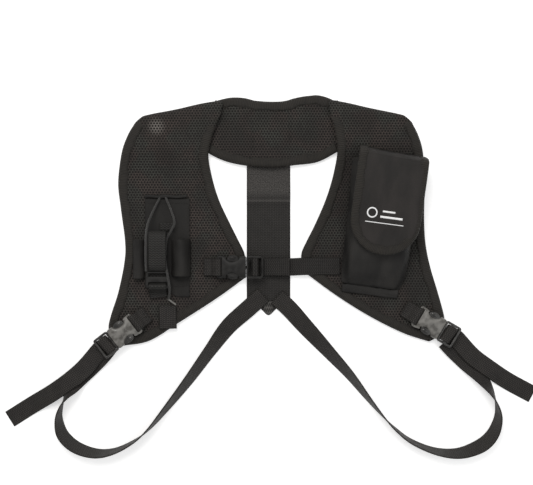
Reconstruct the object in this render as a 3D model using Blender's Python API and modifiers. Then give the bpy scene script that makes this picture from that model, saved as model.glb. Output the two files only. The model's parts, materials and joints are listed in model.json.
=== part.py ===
"""Radio chest harness, laid flat on its back with the chest side up.

A mesh yoke lies behind the neck and folds over both shoulders into two mesh chest
panels. A wide back strap runs down from the yoke and splits into two side straps,
which come round to side-release buckles on the panels. A third buckle joins the
panels over the chest. One panel carries a radio pouch with a flap, the other an open
radio holder with a bungee cord.

Lengths are in millimetres until a mesh is made; +X is the viewer's right, +Y is
towards the collar and +Z is up off the surface that the harness lies on.
"""

import bisect
import math

import bmesh
import bpy
from mathutils import Matrix, Vector

MM = 0.001
GAP = 0.35

# Webbing and padding
BACK_WEBBING = 50.0
SIDE_WEBBING = 20.0
WEBBING_THICK = 1.6
PAD_THICK = 6.0
BINDING_WIDTH = 10.5
BINDING_THICK = 7.0
SEAM_GAP = 0.9

# The back strap, its pointed end and the yoke's collar
STRAP_CENTRE_X = -3.8
STRAP_TOP_Y = 186.0
STRAP_POINT_Y = -45.0
STRAP_NOTCH_Y = -37.0
STRAP_SHOULDER_Y = -27.0

# The shoulder fold and the front's drop from the shoulders to the surface
FOLD_Y = 183.5
FOLD_GAP = 0.6
YOKE_LIFT = 2.4
PANEL_HIGH = 9.6
DROP_FROM_Y = 152.0
DROP_TO_Y = 112.0

# Side-release buckle, along its own X from the webbing bar to the ladder-lock's end
BUCKLE_LENGTH = 52.0
FEMALE_LENGTH = 33.5
BUCKLE_WIDTH = 26.0
BUCKLE_THICK = 9.0
BAR_LENGTH = 3.4
BAR_SLOT = 3.6
CAVITY_FROM = 10.0
CAVITY_WIDTH = 20.8
CAVITY_HEIGHT = 5.8
BAR_HALF = 1.8
LOCK_THICK = 6.0
LOCK_SLOT = 4.0
BUCKLE_LIFT = 12.2

# Each buckle's webbing-bar end and its heading in degrees
BUCKLES = {
    "chest": ((-63.0, 10.4), 0.0),
    "left": ((-153.9, -51.8), 217.4),
    "right": ((164.0, -43.9), -30.4),
}

# Radio pouch on the right panel, in its own frame: origin at the flap's seam
POUCH_SEAM = (136.0, 143.5)
POUCH_TILT = -7.5
POUCH_WALL = 2.2
FLAP_SEAM_Z = 14.4
FLAP_HALF = 39.5
FLAP_SHIFT = 1.6
FLAP_LENGTH = 119.5
FLAP_THICK = 3.0
FLAP_EDGE = 8.0
FLAP_RISE = 25.1
FLAP_RISE_LENGTH = 10.0
FLAP_SLOPE = 5.5
FLAP_SLOPE_FROM = 30.0
PATCH_THICK = 1.0

# Radio holder on the left panel
HOLDER_LEFT = -145.0
HOLDER_RIGHT = -94.0
HOLDER_TOP_Y = 92.7
HOLDER_FOOT_Y = -14.0
HOLDER_HEM = 3.7
HOLDER_STRAP_X = -129.6
HOLDER_LOCK_HALF = 13.0
BUNGEE = 2.6

CURVE_STEPS = 12
FAR = -1e-9


# ---------------------------------------------------------------- curves and meshes


def smooth_curve(knots):
    """A function of 0 to 1 that runs evenly along a smooth curve through the knots."""
    points = [Vector(knot) for knot in knots]
    first = 2 * points[0] - points[1]
    last = 2 * points[-1] - points[-2]
    ends = [first, *points, last]
    dense = []
    for a, b, c, d in zip(ends, ends[1:], ends[2:], ends[3:]):
        for step in range(CURVE_STEPS):
            t = step / CURVE_STEPS
            bend = (2 * a - 5 * b + 4 * c - d) * t**2 + (3 * b - a - 3 * c + d) * t**3
            dense.append(0.5 * (2 * b + (c - a) * t + bend))
    dense.append(points[-1])
    lengths = [0.0]
    for a, b in zip(dense, dense[1:]):
        lengths.append(lengths[-1] + math.dist(a[:3], b[:3]))

    def at(share):
        goal = share * lengths[-1]
        i = min(max(bisect.bisect_right(lengths, goal), 1), len(dense) - 1)
        part = (goal - lengths[i - 1]) / max(lengths[i] - lengths[i - 1], 1e-9)
        return dense[i - 1].lerp(dense[i], part)

    return at


def smoothstep(low, high, value):
    t = min(max((value - low) / (high - low), 0.0), 1.0)
    return t * t * (3 - 2 * t)


def material(name, colour, roughness):
    """A dull or glossy plastic or fabric of one colour."""
    made = bpy.data.materials.new(name)
    made.use_nodes = True
    shader = made.node_tree.nodes["Principled BSDF"]
    shader.inputs["Base Color"].default_value = (*colour, 1.0)
    shader.inputs["Roughness"].default_value = roughness
    shader.inputs["Metallic"].default_value = 0.0
    return made


def add_part(name, mesh, finish):
    part = bpy.data.objects.new(name, mesh)
    own = finish.copy()
    own.name = name + "_finish"
    part.data.materials.append(own)
    HARNESS.objects.link(part)
    return part


def add_cutter(name, bm):
    """A hidden wire-frame solid that is cut out of a part."""
    cutter = bpy.data.objects.new(name, bpy.data.meshes.new(name))
    bm.to_mesh(cutter.data)
    bm.free()
    cutter.hide_render = True
    cutter.display_type = "WIRE"
    CUTTERS.objects.link(cutter)
    return cutter


def cut(part, cutter):
    boolean = part.modifiers.new(cutter.name, "BOOLEAN")
    boolean.operation = "DIFFERENCE"
    boolean.solver = "EXACT"
    boolean.object = cutter


def sheet(name, surface, columns, rows, thickness, finish):
    """A closed solid of even thickness, half on each side of surface(u, v)."""
    mesh = bpy.data.meshes.new(name)
    bm = bmesh.new()
    bmesh.ops.create_grid(bm, x_segments=columns, y_segments=rows, size=1.0)
    for vertex in bm.verts:
        u = (vertex.co.x + 1) / 2
        v = (vertex.co.y + 1) / 2
        vertex.co = Vector(surface(u, v)) * MM
    bm.to_mesh(mesh)
    bm.free()
    part = add_part(name, mesh, finish)
    solidify = part.modifiers.new("thickness", "SOLIDIFY")
    solidify.thickness = thickness * MM
    solidify.offset = 0.0
    return part


def box_mesh(low, high, place):
    """A bmesh box between two corners in millimetres, moved by the matrix place."""
    bm = bmesh.new()
    bmesh.ops.create_cube(bm, size=1.0)
    low, high = Vector(low), Vector(high)
    for vertex in bm.verts:
        share = vertex.co + Vector((0.5, 0.5, 0.5))
        point = Vector(low[i] + share[i] * (high[i] - low[i]) for i in range(3))
        vertex.co = (place @ point) * MM
    return bm


def box(name, low, high, place, finish, bevel=0.0):
    part = add_part(name, bpy.data.meshes.new(name), finish)
    bm = box_mesh(low, high, place)
    bm.to_mesh(part.data)
    bm.free()
    if bevel:
        rounding = part.modifiers.new("rounded_edges", "BEVEL")
        rounding.width = bevel * MM
        rounding.segments = 2
    return part


def plate(name, outline, low_z, high_z, place, finish):
    """A flat outline in millimetres, filled between two heights."""
    curve = bpy.data.curves.new(name, "CURVE")
    curve.dimensions = "2D"
    curve.fill_mode = "BOTH"
    curve.extrude = (high_z - low_z) / 2 * MM
    spline = curve.splines.new("POLY")
    spline.points.add(len(outline) - 1)
    for point, (x, y) in zip(spline.points, outline):
        point.co = (x * MM, y * MM, 0.0, 1.0)
    spline.use_cyclic_u = True
    guide = bpy.data.objects.new(name + "_outline", curve)
    CUTTERS.objects.link(guide)
    bpy.context.view_layer.update()
    seen = guide.evaluated_get(bpy.context.evaluated_depsgraph_get())
    mesh = bpy.data.meshes.new_from_object(seen)
    bpy.data.objects.remove(guide)
    bm = bmesh.new()
    bm.from_mesh(mesh)
    bmesh.ops.remove_doubles(bm, verts=bm.verts, dist=1e-6)
    bmesh.ops.recalc_face_normals(bm, faces=bm.faces)
    lift = Matrix.Translation((0, 0, (low_z + high_z) / 2))
    for vertex in bm.verts:
        vertex.co = (place @ lift @ (vertex.co / MM)) * MM
    mesh.clear_geometry()
    bm.to_mesh(mesh)
    bm.free()
    mesh.materials.clear()
    return add_part(name, mesh, finish)


def loft(sections):
    """A bmesh solid through like sections, each a ring of points in millimetres."""
    bm = bmesh.new()
    rings = [[bm.verts.new(Vector(p) * MM) for p in ring] for ring in sections]
    for ring, following in zip(rings, rings[1:]):
        for i in range(len(ring)):
            j = (i + 1) % len(ring)
            bm.faces.new((ring[i], ring[j], following[j], following[i]))
    bm.faces.new(rings[0])
    bm.faces.new(rings[-1])
    bmesh.ops.recalc_face_normals(bm, faces=bm.faces)
    return bm


def ribbon(name, centre, side, width, thickness, steps, finish, span=(0.0, 1.0)):
    """Webbing along centre(t), its width along side(t)."""

    def surface(u, v):
        t = span[0] + (span[1] - span[0]) * u
        return Vector(centre(t)[:3]) + side(t) * (v - 0.5) * width

    return sheet(name, surface, steps, 2, thickness, finish)


def rolling_side(route):
    """The width's direction along a route whose fourth value is its roll in degrees."""

    def side(t):
        ahead = route(min(t + 0.01, 1.0)) - route(max(t - 0.01, 0.0))
        heading = Vector((ahead.x, ahead.y, 0.0)).normalized()
        roll = math.radians(route(t)[3])
        left = Vector((-heading.y, heading.x, 0.0))
        return left * math.cos(roll) + Vector((0, 0, math.sin(roll)))

    return side


def frame_at(place, heading, lift):
    """The matrix of a frame at a place on the surface, turned by a heading."""
    turn = Matrix.Rotation(math.radians(heading), 4, "Z")
    return Matrix.Translation((*place, lift)) @ turn


# ---------------------------------------------------------------- yoke and back


def coons(outer, inner, top, bottom):
    """A point function on the patch between four edges that meet at its corners."""

    def point(u, v):
        across = outer(v).lerp(inner(v), u)
        along = top(u).lerp(bottom(u), v)
        upper = top(0).lerp(top(1), u)
        lower = bottom(0).lerp(bottom(1), u)
        return across + along - upper.lerp(lower, v)

    return point


def inset(distance, length):
    """A share of a length, from its start, or from its end for a negative distance."""
    return distance / length if distance >= 0 else 1 + distance / length


def patch_piece(name, patch, across, along, lift, thickness, cells, finish):
    """The part of a patch between insets in millimetres from its edges."""

    def surface(u, v):
        wide = (patch(1, v) - patch(0, v)).length
        u_low, u_high = (inset(d, wide) for d in across)
        u_at = u_low + (u_high - u_low) * u
        tall = (patch(u_at, 1) - patch(u_at, 0)).length
        v_low, v_high = (inset(d, tall) for d in along)
        x, y = patch(u_at, v_low + (v_high - v_low) * v)
        return x, y, lift(x, y)

    return sheet(name, surface, *cells, thickness, finish)


def yoke_lift(x, y):
    """The yoke lies on the surface, and rises over the back strap."""
    away = abs(x - STRAP_CENTRE_X)
    return PAD_THICK / 2 + YOKE_LIFT * (1 - smoothstep(30, 55, away))


def make_yoke(mesh_finish, tape):
    top = smooth_curve(
        [(-52, 203), (-43, 205), (-29, 202), (-3, 201), (25, 202), (44, 206), (62, 204)]
    )
    bottom = smooth_curve(
        [(-72, 140), (-57, 133), (-36, 127.5), (-3, 124), (26, 127), (53, 131), (73.6, 142)]
    )
    left = smooth_curve([(-52, 203), (-62, 172), (-72, 140)])
    right = smooth_curve([(62, 204), (68.4, 173), (73.6, 142)])
    patch = coons(left, right, top, bottom)
    edge = BINDING_WIDTH + SEAM_GAP
    whole = (0, FAR)
    patch_piece(
        "yoke_pad", patch, whole, (edge, -edge), yoke_lift, PAD_THICK, (20, 5), mesh_finish
    )
    for name, along in (("neck", (0, BINDING_WIDTH)), ("lower", (-BINDING_WIDTH, FAR))):
        patch_piece(
            f"yoke_{name}_binding",
            patch,
            whole,
            along,
            lambda x, y: yoke_lift(x, y) + (BINDING_THICK - PAD_THICK) / 2,
            BINDING_THICK,
            (20, 1),
            tape,
        )


def make_shoulders(mesh_finish):
    """Each shoulder: a wing of the back under the panel, and the fold's thick edge."""
    low = FOLD_Y + FOLD_GAP
    wings = {
        "left": [(-60.4, 182), (-140, 182), (-134, 154), (-70, 154)],
        "right": [(69, 182), (144, 182), (138, 154), (74.8, 154)],
    }
    folds = {
        "left": [(-59.5, low), (-53.6, 203.2), (-78, 199.6), (-114, 191.5), (-146, low)],
        "right": [(150, low), (120, 192.3), (90, 199.4), (63.5, 204.2), (68.4, low)],
    }
    still = Matrix.Identity(4)
    for side, outline in wings.items():
        plate(f"shoulder_wing_{side}", outline, 0.4, PAD_THICK, still, mesh_finish)
    for side, outline in folds.items():
        high = PANEL_HIGH + PAD_THICK / 2
        plate(f"shoulder_fold_{side}", outline, 0.4, high, still, mesh_finish)


def make_back_strap(webbing):
    half = BACK_WEBBING / 2
    notch, shoulder = 9.7, half
    outline = [
        (-half, STRAP_TOP_Y),
        (-shoulder, STRAP_SHOULDER_Y),
        (-notch, STRAP_NOTCH_Y),
        (0, STRAP_POINT_Y),
        (notch, STRAP_NOTCH_Y),
        (shoulder, STRAP_SHOULDER_Y),
        (half, STRAP_TOP_Y),
    ]
    place = Matrix.Translation((STRAP_CENTRE_X, 0, 0))
    plate("back_strap", outline, 0.0, WEBBING_THICK, place, webbing)


# ---------------------------------------------------------------- side straps

# Each stop of a side strap: x, y, roll in degrees, and the extra height of its edge.
SIDE_ROUTES = {
    "left": [
        (-13, -24, 0, 2.4),
        (-28, -38, -4, 2.2),
        (-50, -58, -20, 0.5),
        (-70.5, -85, -42, 0.4),
        (-96, -120, -56, 0.4),
        (-123, -154, -71, 0.4),
        (-141, -175, -82, 0.4),
        (-157.5, -188.5, -92, 0.4),
        (-180, -199.5, -100, 0.4),
        (-201.5, -202, -112, 0.4),
        (-223.5, -195, -121, 0.4),
        (-238.5, -181, -120, 0.4),
        (-243, -163, -104, 0.4),
        (-240, -147.5, -90, 0.4),
        (-235.5, -138.5, -72, 0.4), (-229.5, -128.5, -34, 0.4),
        (-223, -119.5, -12, 0.4),
        (-208.5, -105.5, -2, 1.4),
        (-195, -92.0, 0, 4.2),
        (-184.5, -79.0, 0, 4.6),
    ],
    "right": [
        (5.5, -24, 0, 2.4),
        (20.5, -38, 4, 2.2),
        (38, -57.5, 18, 0.5),
        (63.5, -85, 40, 0.4),
        (88.8, -112.7, 58, 0.4),
        (110.6, -140.3, 74, 0.4),
        (127.9, -161, 86, 0.4),
        (141.7, -175, 94, 0.4),
        (159.5, -188.5, 98, 0.4),
        (186.5, -199.5, 104, 0.4),
        (213, -202, 116, 0.4),
        (237.5, -194, 128, 0.4),
        (251.5, -181, 122, 0.4),
        (258, -163, 106, 0.4),
        (257, -147.5, 90, 0.4),
        (251, -132.5, 68, 0.4),
        (237.5, -113, 29, 0.4),
        (222.5, -98.5, 5, 1.4),
        (208.5, -85.2, 0, 4.2),
        (198.5, -74.5, 0, 4.6),
    ],
}
# How far along each route its last, buckle-side length begins.
SIDE_SPLIT = {"left": 0.80, "right": 0.81}


def side_route(side):
    knots = []
    for x, y, roll, rise in SIDE_ROUTES[side]:
        turn = math.radians(roll)
        edge = SIDE_WEBBING / 2 * abs(math.sin(turn))
        face = WEBBING_THICK / 2 * abs(math.cos(turn))
        knots.append((x, y, rise + edge + face, roll))
    return smooth_curve(knots)


def make_side_straps(webbing):
    for side in SIDE_ROUTES:
        route = side_route(side)
        split = SIDE_SPLIT[side]
        across = rolling_side(route)
        size = (SIDE_WEBBING, WEBBING_THICK)
        ribbon(f"side_strap_{side}", route, across, *size, 44, webbing, (0.0, split))
        ribbon(
            f"side_strap_end_{side}", route, across, *size, 14, webbing, (split + 0.002, 1.0)
        )


# ---------------------------------------------------------------- front panels

PANEL_EDGES = {
    "left": {
        "outer": [
            (-148, FOLD_Y),
            (-155, 176),
            (-164, 162),
            (-172, 140),
            (-177, 108),
            (-173, 78),
            (-168, 39),
            (-169, 15),
            (-176, -19),
            (-184, -44),
            (-187, -60),
            (-182, -74),
            (-171, -80),
        ],
        "inner": [
            (-58.5, FOLD_Y),
            (-65, 168),
            (-70, 152),
            (-72.5, 137),
            (-69, 115),
            (-61, 88),
            (-48, 60),
            (-39, 42),
            (-31.5, 26),
            (-30, 10),
            (-30.5, -2),
        ],
        "bottom": [(-171, -80), (-140, -74), (-106, -53), (-64, -26), (-30.5, -2)],
    },
    "right": {
        "outer": [
            (152, FOLD_Y),
            (161, 174),
            (169, 158),
            (174, 140),
            (176, 108),
            (174.5, 67),
            (176, 38),
            (181, 12),
            (189, -15),
            (196, -40),
            (199, -56),
            (193, -70),
            (180, -75),
        ],
        "inner": [
            (66.5, FOLD_Y),
            (71, 168),
            (74, 152),
            (74.5, 138),
            (70, 114),
            (62, 88),
            (50, 60),
            (40, 40),
            (34, 26),
            (35, 12),
            (42, 1),
        ],
        "bottom": [(180, -75), (150, -65), (112, -46), (75, -23), (42, 1)],
    },
}


def panel_lift(x, y):
    """The height of a panel's middle layer: over the wing at the top, then down."""
    return PAD_THICK / 2 + (PANEL_HIGH - PAD_THICK / 2) * smoothstep(DROP_TO_Y, DROP_FROM_Y, y)


def binding_lift(x, y):
    return panel_lift(x, y) + (BINDING_THICK - PAD_THICK) / 2


def make_panel(side, mesh_finish, tape):
    edges = {name: smooth_curve(knots) for name, knots in PANEL_EDGES[side].items()}
    ends = [edges["outer"](0), edges["inner"](0)]
    patch = coons(
        edges["outer"], edges["inner"], lambda u: ends[0].lerp(ends[1], u), edges["bottom"]
    )
    edge = BINDING_WIDTH + SEAM_GAP
    name = f"panel_{side}"
    patch_piece(
        name, patch, (edge, -edge), (0, -edge), panel_lift, PAD_THICK, (8, 16), mesh_finish
    )
    strips = {
        "outer": ((0, BINDING_WIDTH), (0, FAR), (1, 24)),
        "inner": ((-BINDING_WIDTH, FAR), (0, FAR), (1, 22)),
        "bottom": ((edge, -edge), (-BINDING_WIDTH, FAR), (12, 1)),
    }
    for strip, (across, along, cells) in strips.items():
        patch_piece(
            f"{name}_{strip}_binding",
            patch,
            across,
            along,
            binding_lift,
            BINDING_THICK,
            cells,
            tape,
        )


# ---------------------------------------------------------------- buckles


def female_outline():
    """Half of the receiving half's plan: bar end, waisted window and mouth."""
    half = BUCKLE_WIDTH / 2
    waist = CAVITY_WIDTH / 2 - 2.6
    upper = [
        (0.0, half - 2.5),
        (1.5, half - 1.0),
        (9.0, half - 0.6),
        (12.0, waist + 1.2),
        (14.0, waist),
        (21.0, waist),
        (24.5, waist + 1.6),
        (27.0, half - 0.6),
        (31.0, half),
        (FEMALE_LENGTH, half - 0.4),
    ]
    return upper + [(x, -y) for x, y in reversed(upper)]


def arm_outline():
    """One spring arm: a thin root at the male half and a broad thumb pad."""
    return [
        (FEMALE_LENGTH - 0.1, 6.0),
        (FEMALE_LENGTH - 0.1, 8.4),
        (25.8, 8.6),
        (25.0, 9.9),
        (22.6, 12.9),
        (18.0, 13.7),
        (13.9, 12.7),
        (12.2, 10.0),
        (12.2, 6.9),
        (20.0, 6.2),
    ]


def make_buckle(name, plastic, webbing):
    """Both halves of one buckle, its two arms, and the sewn stub that holds it."""
    place, heading = BUCKLES[name]
    frame = frame_at(place, heading, BUCKLE_LIFT)
    half_thick = BUCKLE_THICK / 2
    female = plate(
        f"{name}_female", female_outline(), -half_thick, half_thick, frame, plastic
    )
    wide = CAVITY_WIDTH / 2
    deep = CAVITY_HEIGHT / 2
    cut(
        female,
        add_cutter(
            f"{name}_cavity",
            box_mesh((CAVITY_FROM, -wide, -deep), (FEMALE_LENGTH + 5, wide, deep), frame),
        ),
    )
    bar_end = BAR_LENGTH + BAR_SLOT
    clear = SIDE_WEBBING / 2 + 0.6
    narrow = clear - 0.1
    deep = half_thick + 1
    over_slot = BAR_LENGTH + 1
    gaps = {
        "slot": ((BAR_LENGTH, -clear, -deep), (bar_end, clear, deep)),
        "over_bar": ((-1, -narrow, BAR_HALF), (over_slot, narrow, deep)),
        "under_bar": ((-1, -narrow, -deep), (over_slot, narrow, -BAR_HALF)),
    }
    for gap, corners in gaps.items():
        cut(female, add_cutter(f"{name}_{gap}", box_mesh(*corners, frame)))

    start = FEMALE_LENGTH + GAP
    lock = LOCK_THICK / 2
    half = BUCKLE_WIDTH / 2
    outline = [
        (start, -half + 1.0),
        (start + 2.0, -half),
        (BUCKLE_LENGTH - 2.0, -half),
        (BUCKLE_LENGTH, -half + 2.0),
        (BUCKLE_LENGTH, half - 2.0),
        (BUCKLE_LENGTH - 2.0, half),
        (start + 2.0, half),
        (start, half - 1.0),
        (start, 1.9),
        (15.0, 1.5),
        (15.0, -1.5),
        (start, -1.9),
    ]
    male = plate(f"{name}_male", outline, -lock, lock, frame, plastic)
    for number, slot in enumerate((start + 4.6, start + 11.6)):
        corners = (slot, -clear, -lock - 1), (slot + LOCK_SLOT, clear, lock + 1)
        cutter = box_mesh(*corners, frame)
        cut(male, add_cutter(f"{name}_lock_slot_{number}", cutter))
    for over, level in (("over", 1.0), ("under", -1.0)):
        low, high = sorted((1.4 * level, 4.0 * level))
        thin = box_mesh((10.0, -4.0, low), (start - 0.05, 4.0, high), frame)
        cut(male, add_cutter(f"{name}_prong_{over}", thin))

    for arm, sign in (("upper", 1.0), ("lower", -1.0)):
        points = [(x, y * sign) for x, y in arm_outline()]
        if sign < 0:
            points.reverse()
        plate(f"{name}_arm_{arm}", points, -2.5, 2.5, frame, plastic)

    stub = smooth_curve(
        [
            (-23, 0, -4.7),
            (-8, 0, -4.7),
            (-2, 0, -4.5),
            (2.2, 0, -3.9),
            (5.8, 0, 0),
            (2.2, 0, 3.9),
            (-3, 0, 0.6),
            (-9, 0, -2.6),
            (-22, 0, -2.75),
        ]
    )
    across = frame.to_3x3() @ Vector((0, 1, 0))
    ribbon(
        f"{name}_stub",
        lambda t: frame @ Vector(stub(t)),
        lambda t: across,
        SIDE_WEBBING,
        WEBBING_THICK,
        38,
        webbing,
    )


def tail_route(name):
    """The webbing's free length: up, over the ladder-lock's bar, down and out."""
    place, heading = BUCKLES[name]
    frame = frame_at(place, heading, BUCKLE_LIFT)
    start = FEMALE_LENGTH + GAP
    first, second = start + 6.6, start + 13.6
    wrap = [
        (first, 0, -4.6),
        (first, 0, 1.5),
        (first + 1.3, 0, 4.3),
        (first + 5.7, 0, 4.3),
        (second, 0, 1.5),
        (second - 0.2, 0, -2.6),
        (second + 1.0, 0, -4.4),
        (second + 3.2, 0, -4.7),
        (BUCKLE_LENGTH + 3, 0, -4.7),
    ]
    knots = [tuple(frame @ Vector(p)) for p in wrap]
    ends = {
        "chest": [(-2, 10.4, 7.8), (12, 10.4, 7.8), (20, 10.4, 8.0)],
        "left": [
            (-213.5, -104, 8.6),
            (-230.8, -119.3, 11.4),
            (-251.4, -133.8, 9.2),
            (-275.2, -148.2, 1.8),
            (-300.8, -164.4, 1.0),
        ],
        "right": [
            (229, -91, 7.3),
            (249, -106, 6.2),
            (270.7, -120.4, 1.8),
            (299.4, -136, 1.0),
        ],
    }
    return smooth_curve(knots + ends[name])


def make_tails(webbing):
    for name, (place, heading) in BUCKLES.items():
        side = Matrix.Rotation(math.radians(heading), 3, "Z") @ Vector((0, 1, 0))
        ribbon(
            f"{name}_tail",
            tail_route(name),
            lambda t: side,
            SIDE_WEBBING,
            WEBBING_THICK,
            48,
            webbing,
        )


def make_chest_strap(webbing):
    """The fixed length from the right panel to under the chest ladder-lock."""
    route = smooth_curve(
        [
            (78, 10.4, 7.2),
            (60, 10.4, 7.3),
            (48, 10.4, 8.2),
            (37, 10.4, 8.3),
            (29, 10.4, 7.4),
            (21, 10.4, 5.8),
            (12, 10.4, 5.5),
            (-8, 10.4, 5.5),
            (-22, 10.4, 5.6),
        ]
    )
    side = Vector((0, 1, 0))
    ribbon(
        "chest_strap",
        route,
        lambda t: side,
        SIDE_WEBBING,
        WEBBING_THICK,
        20,
        webbing,
    )


# ---------------------------------------------------------------- radio pouch


def pouch_frame():
    return frame_at(POUCH_SEAM, POUCH_TILT, 0.0)


# The pouch from its mouth down: y, left and right at the back, left and right at the
# front, height of the back, height of the front.
POUCH_RINGS = [
    (-13, -43, 35, -31, 31, 10.6, 33.5),
    (-30, -42, 36, -32, 32, 7.4, 34.0),
    (-75, -40, 37, -32, 32, 7.4, 31.5),
    (-118, -39, 37, -31, 31, 7.4, 27.5),
    (-146, -38, 34, -29, 26, 7.4, 19.0),
    (-158, -36, 30, -30, 24, 7.4, 10.2),
]


def pouch_rings(shrink, first, last):
    """The pouch's sections, moved in by shrink, with its end sections' y replaced."""
    frame = pouch_frame()
    rings = []
    for row, (y, back_l, back_r, front_l, front_r, back_z, front_z) in enumerate(POUCH_RINGS):
        if row == 0:
            y = first
        elif row == len(POUCH_RINGS) - 1:
            y = last
        ring = [
            (back_l + shrink, y, back_z + shrink),
            (back_r - shrink, y, back_z + shrink),
            (front_r - shrink, y, front_z - shrink),
            (front_l + shrink, y, front_z - shrink),
        ]
        rings.append([tuple(frame @ Vector(p)) for p in ring])
    return rings


def make_pouch(nylon, tape, hook):
    body = add_part("pouch_body", bpy.data.meshes.new("pouch_body"), nylon)
    shell = loft(pouch_rings(0.0, POUCH_RINGS[0][0], POUCH_RINGS[-1][0]))
    shell.to_mesh(body.data)
    shell.free()
    hollow = loft(pouch_rings(POUCH_WALL, 20.0, -153.0)[:5])
    cut(body, add_cutter("pouch_hollow", hollow))
    frame = pouch_frame()
    steps = [(ring[0], ring[-1]) for ring in POUCH_RINGS]

    def front(u, v):
        """The loop patch lies on the pouch's sloping front."""
        y = -76 - 30 * v
        for (y_a, z_a), (y_b, z_b) in zip(steps, steps[1:]):
            if y_b <= y <= y_a:
                z = z_a + (z_b - z_a) * (y - y_a) / (y_b - y_a)
        return frame @ Vector((34 * u - 17, y, z + GAP + PATCH_THICK / 2))

    sheet("pouch_loop_patch", front, 2, 4, PATCH_THICK, hook)
    plate(
        "pouch_bottom_seam",
        [(-36, -167), (30, -167), (30, -158.6), (-36, -158.6)],
        7.4,
        9.4,
        frame,
        tape,
    )


def flap_height(y):
    """The flap's height over its length: up from the seam, then along the front."""
    left = max(1 + y / FLAP_RISE_LENGTH, 0.0)
    slope = FLAP_SLOPE * smoothstep(FLAP_SLOPE_FROM, FLAP_LENGTH, -y)
    return FLAP_SEAM_Z + FLAP_RISE * (1 - left**3) - slope


def make_flap(nylon, tape, hook, mark):
    frame = pouch_frame()
    inner_length = FLAP_LENGTH - FLAP_EDGE - GAP
    inner_half = FLAP_HALF - FLAP_EDGE - GAP
    start = FLAP_LENGTH - FLAP_HALF

    def cloth(u, v):
        y = -inner_length * v**1.5
        below = max(-y - start, 0.0)
        half = math.sqrt(max(inner_half**2 - below**2, 6.0))
        x = half * (2 * u - 1) + FLAP_SHIFT
        return frame @ Vector((x, y, flap_height(y)))

    sheet("flap", cloth, 6, 20, FLAP_THICK, nylon)

    def rim(t):
        """The edge's line: down one side, round the end and up the other."""
        straight = start
        arc = math.pi * FLAP_HALF
        along = t * (2 * straight + arc)
        if along < straight:
            return Vector((-1.0, 0.0)), Vector((0.0, -along))
        if along > straight + arc:
            return Vector((1.0, 0.0)), Vector((0.0, along - 2 * straight - arc))
        angle = (along - straight) / FLAP_HALF
        return Vector((-math.cos(angle), -math.sin(angle))), Vector((0.0, -straight))

    def edge(u, v):
        out, centre = rim(u)
        x, y = centre + out * (FLAP_HALF - FLAP_EDGE * (1 - v))
        return frame @ Vector((x + FLAP_SHIFT, y, flap_height(y) + 0.1))

    sheet("flap_binding", edge, 40, 1, FLAP_THICK + 0.8, tape)
    under = (FLAP_THICK + PATCH_THICK) / 2 + GAP

    def hooks(u, v):
        y = -77 - 28 * v
        return frame @ Vector((32 * u - 16, y, flap_height(y) - under))

    def print_mark(u, v):
        y = -68 - 14 * v
        return frame @ Vector((40 * u - 20, y, flap_height(y) + under))

    sheet("flap_hook_patch", hooks, 2, 4, PATCH_THICK, hook)
    sheet("flap_mark", print_mark, 2, 2, PATCH_THICK / 2, mark)


# ---------------------------------------------------------------- radio holder


def make_holder(nylon, webbing, plastic):
    """The sewn patch, its hem, two fabric sides, and the webbing with its lock."""
    still = Matrix.Identity(4)
    skin = PAD_THICK + GAP
    over = skin + 1.2 + GAP
    corners = (HOLDER_LEFT, HOLDER_FOOT_Y, skin), (HOLDER_RIGHT, 88.6, skin + 1.2)
    box("holder_patch", *corners, still, nylon)
    hem_low = (HOLDER_LEFT, HOLDER_TOP_Y - HOLDER_HEM, skin)
    box("holder_hem", hem_low, (-97, HOLDER_TOP_Y, over + 1.2), still, nylon, 0.6)

    def side_wall(low, high, bulge):
        """A fabric side that arches up off the patch."""

        def surface(u, v):
            x = low[0] + (high[0] - low[0]) * u
            y = low[1] + (high[1] - low[1]) * v
            return x, y, over + 0.8 + bulge * math.sin(math.pi * u) ** 0.7

        return surface

    sheet("holder_side_left", side_wall((-158, -3), (-146, 42), 4.5), 6, 3, 1.4, nylon)
    sheet("holder_side_right", side_wall((-114, 0), (-93, 42), 14.0), 8, 3, 1.4, nylon)

    x = HOLDER_STRAP_X
    side = Vector((1, 0, 0))
    band = smooth_curve(
        [
            (x, 16, over + 1.0),
            (x, 30, over + 1.0),
            (x, 42, over + 1.6),
            (x, 51, over + 8.0),
            (x, 46, over + 14.5),
            (x, 30, over + 15.5),
            (x, 14, over + 14.5),
            (x, 7, over + 12.0),
            (x, 3.5, over + 9.8),
        ]
    )
    ribbon(
        "holder_strap", band, lambda t: side, SIDE_WEBBING, WEBBING_THICK, 22, webbing
    )
    tail_x = x + 10.8
    tail = smooth_curve(
        [
            (x, -1, over + 1.4),
            (x + 1.5, -14, over + 1.3),
            (x + 5, -27, over + 1.0),
            (tail_x, -40, over + 0.9),
            (tail_x, -50, over + 0.6),
            (tail_x, -60, over + 0.4),
        ]
    )
    ribbon("holder_tail", tail, lambda t: side, SIDE_WEBBING, WEBBING_THICK, 12, webbing)

    half = HOLDER_LOCK_HALF
    lock_low, lock_high = over + 5.4, over + 9.0
    lock = box(
        "holder_lock", (x - half, -17, lock_low), (x + half, 3.0, lock_high), still, plastic
    )
    for number, y in enumerate((-13.2, -4.8)):
        low = (x - SIDE_WEBBING / 2 - 0.6, y, lock_low - 1)
        high = (x + SIDE_WEBBING / 2 + 0.6, y + LOCK_SLOT, lock_high + 1)
        cut(lock, add_cutter(f"holder_slot_{number}", box_mesh(low, high, still)))
    return over


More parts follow.
